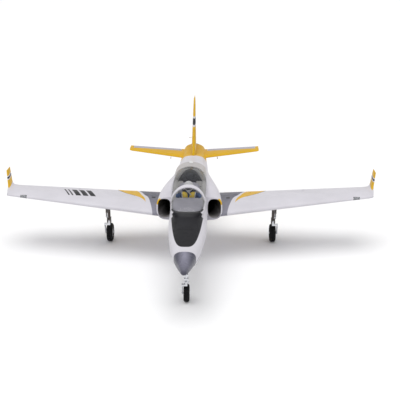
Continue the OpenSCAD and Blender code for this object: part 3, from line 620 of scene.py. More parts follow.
def make_fuselage():
    """Front and rear shells, with the hatch's opening, the bay and the inlets cut out."""
    first, last = NOSE_LEN + 0.2, SPLIT - 0.15
    places = steps(NOSE_LEN + 0.6, SPLIT - 0.5, 8)
    outer = [body_ring(first, 0.6)] + [body_ring(s) for s in places] + [body_ring(last, 0.4)]
    inner = [body_ring(s, WALL) for s in [first, *places, last]]
    front = shell("front", outer, inner)
    cut(front, prism_x(hatch_outline(0)), box((-28, 192, 120), (28, 408, 180)))
    shelf = bevel(box((-56, 396, 199.6), (56, 558, 203.6)), 0.6)
    front = join("fuselage_front_shell", [front, shelf])
    finish(front, "airframe", "painted_foam", ["fuselage_front"])

    outer = [body_ring(SPLIT + 0.15, 0.4), body_ring(SPLIT + 0.5), body_ring(MOUTH - 0.05)]
    outer += [body_ring(MOUTH + lip) for lip in (0, 0.25, 0.7, 1.4, 2.4, 4)]
    outer += [body_ring(s) for s in steps(MOUTH + 9, TAIL - 0.5, 8)]
    outer.append(body_ring(TAIL, 0.4))
    inner = [body_ring(s, WALL, cheeks=False) for s in (SPLIT + 0.15, MOUTH + 5)]
    inner += [body_ring(s, WALL) for s in steps(MOUTH + 5.05, TAIL, 16)]
    rear = shell("fuselage_rear_skin", outer, inner)
    slot = box((-4.5, HATCH_BACK + 8.5, 300), (4.5, HATCH_BACK + 28, 340))
    cut(rear, prism_x(hatch_outline(0)), slot, *mouth_cutters())
    finish(rear, "airframe", "painted_foam", ["fuselage_rear"])


# ---- Hatch, glass and cockpit ----

HATCH = "canopy_hatch"
BOW_S, BOW_WIDE, BOW_LEAN = 424, 16, 27
GLASS_BASE = 293
# The anti-glare panel widens from its front as a power of the distance
DECK_FRONT, DECK_BACK, DECK_HALF, DECK_POWER = 120.5, 322, 54.5, 0.3
CANOPY_ONLY = {"body": False, "cheeks": False}


def windshield_outline(gap=0.0):
    base, back = GLASS_BASE + gap, BOW_S - gap
    return [(290, base), (back, base), (back + BOW_LEAN, 375), (290, 375)]


def rear_glass_outline(gap=0.0):
    base, front = GLASS_BASE + gap, BOW_S + BOW_WIDE + gap
    return [
        (front, base), (640, base + 2), (690 - gap, 303 + gap), (716 - gap, 318 + gap),
        (730 - gap, 336), (738 - gap, 380), (front + BOW_LEAN, 380),
    ]


def deck_outline(gap=0.0):
    """Anti-glare panel's part on the hatch, seen from above."""
    right = []
    for s in steps(215, DECK_BACK - gap, 12):
        half = DECK_HALF * ((s - DECK_FRONT) / (DECK_BACK - DECK_FRONT)) ** DECK_POWER
        right.append((half - gap, s))
    return right + [(-x, s) for x, s in reversed(right)]


def make_hatch():
    """Canopy frame and anti-glare deck, cut from one skin."""
    places = steps(HATCH_FRONT - 12, HATCH_BACK + 12, 6)
    skin = skin_between("canopy_frame", places, (0, 3.5))
    keep(skin, prism_x(hatch_outline(0.6)))
    deck = link(skin.copy())
    deck.data = skin.data.copy()
    deck.name = "anti_glare_deck"
    panes = prism_x(windshield_outline()), prism_x(rear_glass_outline())
    cut(skin, *panes, prism_z(deck_outline(), 240, 300))
    finish(bevel(skin, 0.5, 2, 50), HATCH, "hatch_foam", ["hatch_frame"])
    keep(deck, prism_z(deck_outline(0.3), 240, 300))
    cut(deck, prism_x(windshield_outline()))
    finish(deck, HATCH, "deck_black", ["glare_deck"])


def make_glass(name, outline, node):
    pane = skin_between(name, steps(300, 746, 6), (0.3, 1.5), 120, **CANOPY_ONLY)
    keep(pane, prism_x(outline))
    finish(pane, HATCH, "clear_canopy", [node], angle=50)


def make_seal():
    """Black gasket that closes the joint between the deck and the windshield's base."""
    low, high = GLASS_BASE - 1.6, GLASS_BASE + 1.4
    strip = skin_between("windshield_seal", steps(300, 352, 4), (-0.15, 2.6), 120, cheeks=False)
    keep(strip, prism_x([(302, low), (350, low), (350, high), (302, high)]))
    finish(strip, HATCH, "seal_rubber")


def rounded_block(name, low, high, radius):
    made = bevel(box(low, high), radius, 3)
    made.name = name
    return made


def make_hood(name, rows, base, power, count, wall, front_closed=False):
    """Arched cover open underneath, from rows of (station, half width, top height)."""
    rings = []
    for s, half, top in rows:
        turns = (squared(a, power)[0] for a in np.linspace(0, pi, count))
        rise = (abs(sin(a)) ** 0.5 for a in np.linspace(0, pi, count))
        rings.append([(half * c, s, base + (top - base) * v) for c, v in zip(turns, rise)])
    hood = loft(name, rings, closed=False, caps=(front_closed, False))
    finish(thicken(hood, wall), HATCH, "panel_lilac")


def make_tray():
    """Tray that carries the seats, with a rim out to the canopy's skin."""
    hull = []
    for s in steps(326, 728, 14):
        half = smooth_row(HUMP_ROWS, s)[1] - 4.5
        right = [(half - 3, s, 284), (half, s, 290), (half - 7, s, 291.5)]
        hull.append([(-half, s, 290), (-half + 3, s, 284), *right, (-half + 7, s, 291.5)])
    rim = cut(loft("rim", hull), box((-40, 408, 250), (40, 594, 320)))
    tray = cut(box((-43, 404, 262), (43, 598, 286)), box((-40, 408, 265), (40, 594, 300)))
    tray = join("cockpit_tray", [bevel(rim, 0.8), bevel(tray, 1)])
    finish(tray, HATCH, "cockpit_grey", ["cockpit_tub"])


def make_instruments():
    board = rounded_block("instrument_board", (-44, 414, 266), (44, 419, 306), 1.5)
    finish(board, HATCH, "dark_plastic")
    dials = []
    for x, z, r in ((17, 294, 5), (30, 294, 5), (24, 281, 4)):
        bezel = [(0, 0), (0, r), (1.6, r), (1.6, r - 1), (0.9, r - 1.4), (0.9, 0)]
        dials += [turned("dial", (side * x, 418.5, z), (0, 1, 0), bezel, 24) for side in (-1, 1)]
    screen = bevel(box((-9, 418.5, 276), (9, 420, 299)), 0.5)
    finish(join("instruments", [*dials, screen]), HATCH, "panel_lilac")


def make_seats():
    parts = []
    for s, top in ((528, 322), (618, 334)):
        parts.append(rounded_block("back", (-21, s, 266), (21, s + 9, top - 16), 3))
        parts.append(rounded_block("head", (-12, s - 1, top - 17), (12, s + 8, top + 6), 3.5))
        parts.append(rounded_block("pan", (-21, s - 34, 266), (21, s + 1, 274), 3))
        for x in (-24, 21.5):
            low, high = (x, s - 2, 265.5), (x + 2.5, s + 13, top - 4)
            parts.append(rounded_block("rail", low, high, 0.8))
    finish(join("seats", parts), HATCH, "seat_cloth")


def make_consoles():
    consoles = []
    for side in (-1, 1):
        x0, x1 = sorted((side * 26, side * 41))
        consoles.append(rounded_block("console", (x0, 424, 266), (x1, 500, 285), 2))
        stem = [(side * 33, 452, 284), (side * 33, 448, 292), (side * 33, 447, 297)]
        consoles.append(tube_along("lever", stem, [1.2, 1.2, 2.4], 10))
    finish(join("side_consoles", consoles), HATCH, "dark_plastic")


def make_rear_bulkhead():
    """Pale bulkhead and shelf behind the rear seat, with a dark arched sheet standing in as painted
    shade of the hollow there.
    """
    back = loft("rear_bulkhead", [body_ring(s, 2.6, 96, **CANOPY_ONLY) for s in (698, 701)])
    keep(back, box((-80, 690, 288), (80, 710, 380)))
    arch = [(48, 286), (47, 292), (43, 300), (36, 314), (26, 328), (15, 338), (0, 344)]
    arch += [(-x, z) for x, z in reversed(arch[:-1])]
    # Dark arched sheet is painted shade of the hollow in front of the bulkhead
    shade_sheet = bevel(loft("rear_shade_sheet", [[(x, s, z) for x, z in arch] for s in (678, 681)]), 0.6)
    shelf = rounded_block("rear_shelf", (-44, 610, 290), (44, 676, 296), 2)
    for piece in (back, shelf):
        finish(piece, HATCH, "cockpit_grey")
    finish(shade_sheet, HATCH, "dark_plastic")


def make_cockpit():
    make_tray()
    rows = [
        (328, 34, 291), (334, 42, 296), (346, 49, 301), (366, 52, 306), (394, 54, 310),
        (420, 54, 312), (424, 52, 310),
    ]
    make_hood("coaming", rows, 288, 0.55, 33, 2)
    make_instruments()
    make_seats()
    rows = [(548, 30, 302), (554, 37, 314), (566, 39, 319), (580, 39, 320), (584, 37, 318)]
    make_hood("rear_coaming", rows, 286, 0.6, 25, 1.6, front_closed=True)
    make_rear_bulkhead()
    make_consoles()


# ---- Pilot ----

SEAT_S = 496


def ball(name, centre, radii, low=-90, high=90):
    """Part of a rounded ball between two latitudes."""
    rings = []
    for a in np.radians(np.linspace(low, high, 21)):
        r = max(cos(a), 0.01)
        ring = oval(centre[0], centre[1], radii[0] * r, radii[1] * r, 2, 40)
        rings.append([(x, s, centre[2] + radii[2] * sin(a)) for x, s in ring])
    return loft(name, rings)


def make_suit(s):
    # Height, half width and half depth of the trunk
    rows = [
        (266, 23, 13), (274, 26, 14.5), (284, 31, 15.5), (292, 35, 15.5), (297, 37.5, 14.5),
        (301, 37, 13), (304, 32, 11.5), (306.5, 22, 9.5), (308, 13, 8.5), (313, 10, 8.5),
    ]
    trunk = [[(x, y, z) for x, y in oval(0, s, w, d, 2.4, 40)] for z, w, d in rows]
    parts = [loft("torso", trunk)]
    arm = [(33, 0, 299), (38, -2, 296), (40, -8, 287), (36, -20, 276), (26, -34, 273), (14, -44, 276)]
    leg = [(12, -6, 270), (15, -34, 273), (14, -62, 271)]
    for side in (-1, 1):
        for limb, radii in ((arm, [7, 8.5, 8, 7, 6, 5]), (leg, [9, 9, 7])):
            path = [(side * x, s + y, z) for x, y, z in limb]
            parts.append(tube_along("limb", path, radii, 20))
    finish(join("pilot_suit", parts), HATCH, "flying_suit", ["pilot"], angle=60)


def make_head(s):
    dome = ball("shell", (0, s + 2, 330), (17.6, 19.5, 19.2), -62, 90)
    cut(dome, box((-30, s - 40, 300), (30, s - 8, 327)))
    cover = ball("cover", (0, s + 0.5, 331), (17.4, 20.2, 19), 12, 62)
    keep(cover, box((-15, s - 40, 300), (15, s - 2, 350)))
    cup = [(-2, 0), (-2, 8), (2, 8), (2, 0)]
    ears = [turned("ear", (x, s + 2, 327), (1, 0, 0), cup, 24) for x in (-16.2, 16.2)]
    finish(join("pilot_helmet", [dome, cover, *ears]), HATCH, "helmet_shell", angle=50)
    glass = ball("pilot_visor", (0, s + 0.5, 330), (17.2, 20, 18.4), -22, 16)
    keep(glass, box((-16, s - 40, 300), (16, s - 3, 350)))
    finish(glass, HATCH, "helmet_visor", angle=50)
    face = ball("face", (0, s - 9, 317), (7, 9, 7))
    run = [(0, s - 15, 318), (2, s - 18, 311), (8, s - 17, 303), (16, s - 14, 296)]
    parts = [face, tube_along("hose", run, 2.4, 14)]
    finish(join("pilot_mask", parts), HATCH, "oxygen_mask", angle=60)


def make_harness(s):
    """Two yellow lobes down the chest, with pale outer edges and a buckle between."""
    run = [(13.5, 3, 309.5), (13.5, -9, 308), (12.5, -15.5, 301), (11, -18.6, 292), (9.3, -19.4, 283)]
    straps = []
    for side in (-1, 1):
        for shift, half, lift, look in ((0, 9.2, 0, "harness_strap"), (10.4, 1.5, 0.5, "helmet_shell")):
            rings = []
            for across, ahead, z in run:
                x, u = side * (across + shift), s + ahead
                front = [(x + half * t, u - 3 - lift, z) for t in (0.9, -0.9)]
                front.insert(1, (x, u - 5 - lift, z + 1))
                rings.append([(x - half, u, z - 3), (x + half, u, z - 3), *front])
            straps.append(set_material(loft("strap", rings), look))
    profile = [(0, 0), (0, 5), (2.4, 5), (2.8, 4), (2.8, 0)]
    buckle = turned("buckle", (0, s - 16.6, 284), (0, -1, 0), profile, 28)
    straps.append(set_material(buckle, "oxygen_mask"))
    finish(join("pilot_harness", straps), HATCH, None, angle=50)


# ---- Wing and tail ----

DIHEDRAL = tan(radians(3.75))
# Root x, leading edge, trailing edge, height; the same at the tip; thickness, camber, incidence
WING = (118, 606, 905, 184, 700, 712, 862, 184 + 582 * DIHEDRAL, 0.13, 0.018, 1.5)
STAB = (40, 1202, 1345, 241, 288, 1288, 1369, 251, 0.1, 0, 0)
FIN = (250, 1128, 1384, 0, 472, 1334, 1425, 0, 0.085, 0, 0)
TIP_Z = WING[7]
BLADE_CANT = 64
# x, leading edge, trailing edge, height, cant and thickness of the winglet
WINGLET = [
    (690, 710.2, 862.7, TIP_Z - 0.6, 0, 0.13), (700, 714, 863, TIP_Z - 0.6, 3, 0.118),
    (708, 722, 865, TIP_Z - 1, 8, 0.11), (715, 762, 869, TIP_Z + 2, 30, 0.12),
    (720, 802, 876, TIP_Z + 9, 52, 0.12), (726, 826, 893, TIP_Z + 22, 62, 0.11),
    (735, 858, 917, TIP_Z + 42, BLADE_CANT, 0.1), (739, 871, 928, TIP_Z + 51, BLADE_CANT, 0.08),
]
FLAP, AILERON, WING_HINGE = (236, 446), (450, 664), (0.755, 0.755)
ELEVATOR, ELEVATOR_HINGE = (58, 274), (0.71, 0.47)
RUDDER, RUDDER_HINGE = (276, 460), (0.76, 0.56)
LAMPS_X, LAMP_WIDE = (628, 706), 26


def along(panel, x, i):
    return panel[i] + (panel[i + 4] - panel[i]) * (x - panel[0]) / (panel[4] - panel[0])


def edges(panel, x):
    """Leading edge, trailing edge and height of a panel at a place along its span."""
    return [along(panel, x, i) for i in (1, 2, 3)]


def foil_half(c):
    """Half thickness of an aerofoil at share c of its chord, over its thickness."""
    return 5 * (0.2969 * sqrt(c) - 0.126 * c - 0.3516 * c**2 + 0.2843 * c**3 - 0.1036 * c**4)


def mean_height(c, chord, z, camber, incidence):
    slope = tan(radians(incidence))
    return z - c * chord * slope + 4 * camber * c * (1 - c) * chord


def section(x, le, te, z, thick, camber=0.0, incidence=0.0, cant=0.0, count=34, least=0.9):
    """Ring of an aerofoil from its trailing edge, under the nose and back on top."""
    chord = te - le
    turn = radians(cant)
    ring = []
    for k in list(range(-count, 0)) + list(range(0, count + 1)):
        c = (abs(k) / count) ** 1.6
        half = max(thick * chord * foil_half(c), least * min(1, 12 * c)) * (1 if k > 0 else -1)
        middle = mean_height(c, chord, z, camber, incidence)
        ring.append((x - sin(turn) * half, le + c * chord, middle + cos(turn) * half))
    return ring


def panel_section(panel, x):
    return section(x, *edges(panel, x), *panel[8:])


def skin_point(panel, x, c):
    """Point on a panel's upper skin."""
    le, te, z = edges(panel, x)
    top = mean_height(c, te - le, z, *panel[9:]) + max(panel[8] * (te - le) * foil_half(c), 0.9)
    return np.array([x, le + c * (te - le), top])


def wing_skin():
    rings = [panel_section(WING, x) for x in steps(66, 688, 11)]
    rows = [(0.0, *WINGLET[0])]
    for before, row in zip(WINGLET, WINGLET[1:]):
        rows.append((rows[-1][0] + dist(before[::3], row[::3]), *row))
    for t in steps(2, rows[-1][0], 2.2):
        _, x, le, te, z, cant, thick = smooth_row(rows, t)
        fade = np.clip((718 - x) / 30, 0, 1)
        fade = fade * fade * (3 - 2 * fade)
        rings.append(section(x, le, te, z, thick, WING[9] * fade, WING[10] * fade, cant))
    up = np.array([cos(radians(BLADE_CANT)), 0, sin(radians(BLADE_CANT))])
    for rise, shrink, thinning in ((0.7, 0.97, 0.9), (1.2, 0.9, 0.55)):
        short = 1 - shrink
        ends = le + short * 30, te - short * 12
        ring = section(x, *ends, z, thick * shrink * thinning, cant=cant)
        rings.append([tuple(np.array(p) + up * rise) for p in ring])
    return loft("wing_skin", rings)


def rounded_end(panel, rows):
    """Closing rings of a panel's tip, of (place, share the nose draws back, thickness)."""
    rings = []
    for x, share, thick in rows:
        le, te, z = edges(panel, x)
        rings.append(section(x, le + (te - le) * share, te, z, thick))
    return rings


def slot_cutter(panel, span, shares):
    """Everything aft of a hinge line between two places along the span."""
    ends = []
    for x, share in zip(span, shares):
        _, s, z = skin_point(panel, x, share)
        s -= 0.7
        ends += [x, [(s, z - 60), (s, z + 60), (s + 220.7, z + 60), (s + 220.7, z - 60)]]
    return wedge(*ends)


def body_plug(first, last):
    """Solid fuselage between two stations, for trimming what joins it."""
    return loft("body", [body_ring(s, 1.2) for s in steps(first, last, 12)])


def mirror_copy(piece, name):
    """The same piece on the other side of the plane."""
    mesh = piece.data.copy()
    mesh.transform(Matrix.Scale(-1, 4, (1, 0, 0)))
    mesh.flip_normals()
    return link(bpy.data.objects.new(name, mesh))


def pocket(arm_joint, above, inboard, outboard, depth):
    """Opening under a servo, about its arm's pivot."""
    x, s, z = pivot_of(arm_joint)
    return box((x - inboard, s - 17, z - depth), (x + outboard, s + 7, z + above))


def lamp_box(x, gap):
    """Part of the leading edge that a lamp's cover takes."""
    back = along(WING, x, 1) + 11 - gap
    return box((x + gap, 690, 150), (x + LAMP_WIDE - gap, back, 270))


def well_cutters():
    """Recesses for a main leg's unit, the folded leg, and its wheel."""
    pivot = pivot_of("main_retract_left")
    cutters = [box(pivot + [-11.5, -24.5, -40], pivot + [11.5, 24.5, 9.5])]
    cutters.append(box(pivot + [-24, -16, -70], pivot + [22, 16, 10]))
    fold = Matrix.Rotation(radians(joints["main_retract_left"]["range_deg"][1]), 3, "Y")
    pivot = Vector(pivot)
    axle = Vector(pivot_of("main_wheel_left_spin"))
    arm = joints["main_suspension_left"]
    knuckle = Vector(pivot_of("main_suspension_left"))
    for degrees in arm["range_deg"]:
        # The wheel folds with its arm anywhere in its travel
        swing = Matrix.Rotation(radians(degrees), 3, Vector(arm["axis"]))
        hub = pivot + fold @ (knuckle + swing @ (axle - knuckle) - pivot)
        profile = [(-15, 0), (-15, 41), (80, 41), (80, 0)]
        cutters.append(turned("well", hub, fold @ Vector((1, 0, 0)), profile, 72, (0, 1, 0)))
    floor_plan = ((-13, -16), (76, -16), (76, 28), (-13, 28))
    levels = (axle.z - pivot.z - 4, 2)
    rings = [[pivot + fold @ Vector((x, y, z)) for x, y in floor_plan] for z in levels]
    return [*cutters, loft("leg_slot", rings)]


def make_wings():
    """Left wing with its slots, lamp recesses, pockets and wells, and its mirror image."""
    cutters = [slot_cutter(WING, span, WING_HINGE) for span in (FLAP, AILERON)]
    cutters += [lamp_box(x, 0) for x in LAMPS_X]
    for name in ("flap_left_arm_turn", "aileron_left_arm_turn"):
        cutters.append(pocket(name, 6.5, 25.5, 5, 9))
        x, s, z = pivot_of(name)
        cutters.append(box((x - 1.5, s - 17, z - 40), (x + 5, s + 17, z + 2)))
    x, s, z = pivot_of("flap_left_hinge")
    cutters.append(box((394.5, s - 28, z - 32), (398.5, s + 8, z - 12)))
    wing = cut(wing_skin(), *cutters, *well_cutters(), body_plug(585, 925))
    bevel(wing, 0.5, 2, 60)
    wing.name = "wing_panel_left"
    other = mirror_copy(wing, "wing_panel_right")
    finish(wing, "airframe", "wing_foam", ["wing_left"])
    finish(other, "airframe", "wing_foam", ["wing_right"])


def make_lamps():
    """Clear lamp covers set in each leading edge and wing tip."""
    covers = []
    for x in LAMPS_X:
        cover = keep(wing_skin(), lamp_box(x, 0.4))
        covers += [mirror_copy(cover, "cover"), cover]
    covers = join("lamp_covers", covers)
    finish(covers, "airframe", "lamp_lens", ["wing_lights"], angle=50)


def make_stabilisers():
    rings = [panel_section(STAB, x) for x in steps(24, 276, 9)]
    tip = ((280, 0.012, 0.096), (284, 0.03, 0.09), (286.5, 0.075, 0.075), (288, 0.14, 0.06))
    stab = loft("stabiliser", rings + rounded_end(STAB, tip))
    servo = pocket("elevator_left_arm_turn", 2.5, 26, 4.5, 8)
    cut(stab, slot_cutter(STAB, ELEVATOR, ELEVATOR_HINGE), servo, body_plug(1180, 1374))
    bevel(stab, 0.4, 2, 60)
    pair = join("tailplane", [stab, mirror_copy(stab, "mirrored")])
    finish(pair, "airframe", "yellow_foam", ["stabilisers"])


def make_fin():
    rings = [panel_section(FIN, h) for h in steps(243, 460, 9)]
    tip = ((465, 0.012, 0.082), (469, 0.04, 0.08), (471, 0.075, 0.066), (472, 0.12, 0.05))
    rings += rounded_end(FIN, tip)
    fin = loft("fin_skin", [[(-z, s, h) for h, s, z in ring] for ring in rings])
    front = []
    for h, share, gap in zip(RUDDER, RUDDER_HINGE, (-0.9, 0.9)):
        le, te, _ = edges(FIN, h)
        front.append((le + share * (te - le) - 1.2, h + gap))
    space = prism_x(front + [(s + 300, h) for s, h in reversed(front)], 40)
    under = prism_x([(1375.2, 200), (1375.2, 276), (1460, 276), (1460, 200)], 40)
    _, s, z = pivot_of("rudder_arm_turn")
    servo = box((-6, s - 17.5, z - 5), (6, s + 7, z + 25))
    cut(fin, space, under, servo, body_plug(1120, 1374.8))
    finish(bevel(fin, 0.4, 2, 60), "airframe", "fin_foam", ["fin"])


# ---- Wheels and small fittings ----


def ringed(name, centre, profile, count):
    """Closed ring turned about the span from a closed profile of (place along it, radius)."""
    made = turned(name, centre, (1, 0, 0), list(profile) + [profile[0]], count)
    bm = bmesh.new()
    bm.from_mesh(made.data)
    caps = [face for face in bm.faces if len(face.verts) > 4]
    bmesh.ops.delete(bm, geom=caps, context="FACES_ONLY")
    bm.to_mesh(made.data)
    bm.free()
    return fix_normals(made, 1e-6)


def tyre_profile(r, wide, seat):
    """Rounded section with grooves round the tread and a bead at the rim."""
    half = wide / 2
    right = [(0, r - 1.0), (0.7, r - 1.0), (0.9, r), (3.4, r - 0.25)]
    right += [(3.6, r - 1.3), (4.4, r - 1.35), (4.6, r - 0.45)]
    for i in range(9):
        a = pi / 2 * i / 8
        drop = (r - seat - 8) * (1 - cos(a))
        right.append((4.8 + (half - 4.8) * sin(a), r - 0.5 - drop))
    right += [(half - 0.6, seat + 5), (half - 2, seat + 2.6)]
    right += [(half - 2.6, seat + 2.2), (half - 3, seat)]
    return [(-a, b) for a, b in reversed(right[1:])] + right


def rim_profile(half, seat):
    """Two flanges, the seat between them, a web and a hub, from the left round to the left."""
    flange = seat + 1.4
    return [
        (-half - 0.4, seat - 2.6), (-half - 0.4, flange), (-half + 1.0, flange),
        (-half + 1.2, seat), (half - 1.2, seat), (half - 1.0, flange), (half + 0.4, flange),
        (half + 0.4, seat - 2.6), (half - 2.6, seat - 4), (1.6, seat - 4.6), (1.6, 6.5),
        (half - 0.6, 6), (half - 0.6, 3.2), (-half + 0.6, 3.2), (-half + 0.6, 6), (-1.6, 6.5),
        (-1.6, seat - 4.6), (-half + 2.6, seat - 4),
    ]


def make_wheel(body, node, r, wide, seat):
    """Tyre, spoked rim and rim bolts of the wheel that is a body of its own."""
    axle = Vector(pivot_of(body + "_spin"))
    tyre = ringed(body + "_tyre", axle, tyre_profile(r, wide, seat), 96)
    finish(tyre, body, "tyre_rubber", [node % "tyre"], angle=30)
    rim = ringed(body + "_rim", axle, rim_profile(wide / 2 - 3, seat), 72)
    hole = [(-6, 0), (-6, 2.1), (6, 2.1), (6, 0)]
    head = [(0, 0), (0, 1.2), (0.9, 1.2), (1.1, 0.9), (1.1, 0)]
    holes, heads = [], []
    for k in range(6):
        a, b = TAU * k / 6, TAU * (k + 0.5) / 6
        spot = axle + Vector((0, cos(a), sin(a))) * ((seat - 4.6 + 6.5) / 2)
        holes.append(turned("hole", spot, (1, 0, 0), hole, 20))
        for side in (-1, 1):
            out = Vector((side * 1.6, cos(b) * (seat - 6), sin(b) * (seat - 6)))
            heads.append(turned("head", axle + out, (side, 0, 0), head, 12))
    cut(rim, *holes)
    finish(bevel(rim, 0.25, 2, 40), body, "hub_metal", [node % "hub"])
    finish(join(body + "_rim_bolts", heads), body, "steel_wire")


def make_wheels():
    for side in ("left", "right"):
        make_wheel("main_wheel_" + side, "main_%s_" + side, 37, 25, 20)
    make_wheel("nose_wheel", "nose_%s", 31, 20, 16)


def make_dampers():
    """Sprung damper beside each main leg, down to its trailing arm."""
    for side, out in (("left", 1), ("right", -1)):
        knuckle = pivot_of("main_suspension_" + side)
        top, foot = knuckle + [out * 9.5, -1, 62], knuckle + [out * 9.5, -2, 14]
        long = np.linalg.norm(foot - top)
        profile = [(0, 0), (0, 3.4), (26, 3.4), (26.6, 2.8), (26.6, 1.6), (long, 1.6), (long, 0)]
        sleeve = turned("main_damper_" + side, top, foot - top, profile, 28, (1, 0, 0))
        finish(sleeve, "main_leg_" + side, "leg_metal")
        x0, x1 = sorted((0, out * 11))
        clips = []
        for rise in (60, 16):
            clips.append(bevel(box(knuckle + [x0, -5, rise], knuckle + [x1, 5, rise + 5]), 0.8))
        coil = []
        for t in np.linspace(0, 1, 97):
            a = TAU * 6 * t
            middle = top + (foot - top) * (0.5 + 0.42 * t)
            coil.append(middle + [2.9 * cos(a), 2.9 * sin(a), 0])
        clips.append(tube_along("coil", coil, 0.55, 8))
        name = "main_damper_clips_" + side
        finish(join(name, clips), "main_leg_" + side, "bright_metal")


# ---- Paint ----


def wing_paint(shader):
    """White wing with a grey root that darkens aft in painted shade, a yellow flash edged in black, and
    winglet bands.
    """
    above, below, within, both, mix = shader.above, shader.below, shader.within, shader.both, shader.mix
    x, s, z = shader.math("ABSOLUTE", shader.x), shader.s, shader.z
    root = [(606, 140), (664, 150), (759, 169), (795, 184), (845, 197), (905, 214)]
    inner = shader.curve(s, [(686, 171), (739, 180), (789, 195), (850, 209), (905, 224)])
    outer = [(686, 171), (733, 192), (763, 216), (807, 257), (850, 280), (905, 303)]
    outer = shader.curve(s, outer)
    top = above(z, shader.math("MULTIPLY_ADD", x, DIHEDRAL, 0.1645), 0.001)
    # The root's grey darkens aft as painted shade of the fuselage and its inlets
    ahead = shader.spread(s, 1, 0, 0.62, 0.8)
    grey = mix(ahead, (0.10, 0.10, 0.13), (0.24, 0.235, 0.28))
    mask = both(top, below(x, shader.curve(s, root)))
    colour = mix(mask, WHITE, grey)
    flash = both(top, above(x, inner), below(x, outer), above(s, 0.686))
    colour = mix(flash, colour, YELLOW)
    edge = shader.math("ADD", outer, 0.0032)
    line = both(top, above(x, outer), below(x, edge), above(s, 0.763))
    # Slanted bars on the right wing only
    lean = shader.math("MULTIPLY", shader.sub(s, 0.712), 0.35)
    run = shader.sub(shader.math("MULTIPLY", shader.x, -1.0), lean)
    spans = ((0.362, 0.382), (0.39, 0.41), (0.418, 0.438), (0.448, 0.454), (0.462, 0.468))
    bars = shader.either(*(within(run, start, end) for start, end in spans))
    mark = both(top, bars, within(s, 0.722, 0.812))
    vent = both(top, within(x, 0.138, 0.152), within(s, 0.742, 0.765))
    colour = mix(shader.either(line, mark, vent), colour, BLACK)
    tip = above(x, 0.712)
    colour = mix(both(tip, above(z, 0.2295)), colour, YELLOW)
    for low, high, band in ((0.2475, 0.2585, WHITE), (0.2505, 0.2555, BLACK)):
        colour = mix(both(tip, within(z, low, high)), colour, band)
    return colour


def spine_band(shader, colour):
    """Grey-beige band over the spine behind the rear canopy."""
    above_deck = shader.above(shader.z, 0.3, 0.006)
    band = shader.both(shader.within(shader.s, 0.7, 0.845, 0.006), above_deck)
    return shader.mix(band, colour, (0.46, 0.435, 0.43))


def fuselage_paint(shader):
    """White fuselage: black deck, grey trim and painted shade at the inlets, yellow tail top and side
    flash.
    """
    above, below, within, both, mix = shader.above, shader.below, shader.within, shader.both, shader.mix
    x, s, z = shader.math("ABSOLUTE", shader.x), shader.s, shader.z
    share = shader.math("DIVIDE", shader.sub(s, DECK_FRONT * MM), (DECK_BACK - DECK_FRONT) * MM)
    deck = shader.math("POWER", shader.math("MAXIMUM", share, 0.0), DECK_POWER)
    inside = below(x, shader.math("MULTIPLY", deck, DECK_HALF * MM))
    top = both(within(s, 0.1205, 0.33), above(z, 0.222))
    colour = mix(both(top, inside), WHITE, BLACK)
    lip = both(below(s, 0.5735), below(z, 0.2))
    colour = mix(lip, colour, (0.4, 0.39, 0.43))
    back = shader.math("MULTIPLY", shader.sub(s, 0.57), -0.9)
    corner = shader.math("MULTIPLY_ADD", shader.sub(x, 0.088), 1.2, back)
    accent = both(above(corner, 0.022), above(z, 0.236))
    colour = mix(both(accent, within(s, 0.566, 0.64)), colour, YELLOW)
    # Dark patch under the front of the inlets is painted shade beneath the fuselage
    painted_inlet_shade = both(within(s, 0.562, 0.60), below(z, 0.163))
    colour = mix(painted_inlet_shade, colour, (0.12, 0.12, 0.14))
    tail_top = both(above(s, 1.15, 0.004), above(z, 0.236, 0.001))
    colour = spine_band(shader, mix(tail_top, colour, YELLOW))
    low = shader.curve(s, [(930, 207), (1060, 196), (1220, 188), (1375, 184)])
    high = shader.curve(s, [(930, 209), (1060, 208), (1220, 206), (1375, 204)])
    side = both(above(s, 0.93), above(x, 0.02))
    line = within(z, shader.sub(low, 0.004), low)
    colour = mix(both(side, line), colour, BLACK)
    return mix(both(side, within(z, low, high)), colour, YELLOW)


def hatch_paint(shader):
    return spine_band(shader, WHITE)


def nose_paint(shader):
    """Slate nose with a painted highlight along the top of its middle."""
    # Lighter strip along the top centre is a painted highlight
    pale = shader.spread(shader.z, 0, 1, 0.2, 0.232)
    centre = shader.spread(shader.math("ABSOLUTE", shader.x), 1, 0, 0.002, 0.024)
    return shader.mix(shader.both(pale, centre), (0.075, 0.075, 0.10), (0.24, 0.235, 0.30))


def fin_paint(shader):
    """Yellow fin with a white, black and white band."""
    colour = shader.mix(shader.within(shader.z, 0.37, 0.408), YELLOW, WHITE)
    return shader.mix(shader.within(shader.z, 0.377, 0.401), colour, BLACK)


def glare_paint(shader):
    """Matt black panel, faintly mottled."""
    worn = shader.spread(shader.noise(14), 0, 1, 0.4, 0.7)
    return shader.mix(worn, BLACK, (0.014, 0.014, 0.018))


def suit_paint(shader):
    """Blue flying suit with painted shade of folds, in streaks."""
    # Darker streaks are painted shade standing in for the folds
    folds = shader.spread(shader.noise(110, 6, (1, 1, 0.4)), 0, 1, 0.4, 0.6)
    return shader.mix(folds, (0.02, 0.045, 0.12), (0.05, 0.1, 0.24))


def duct_paint(shader):
    """Passage in painted shade that deepens towards the fan, with a painted pool of light on its floor
    near the mouth.
    """
    # Painted light on the floor near the mouth; the walls darken inwards as painted shade
    painted_floor_light = shader.spread(shader.z, 1, 0, 0.186, 0.214)
    near = shader.spread(shader.s, 1, 0, 0.575, 0.66)
    wall = shader.mix(near, (0.012, 0.011, 0.010), (0.13, 0.12, 0.105))
    return shader.mix(shader.both(painted_floor_light, near), wall, (0.45, 0.43, 0.44))


# ---- Build ----

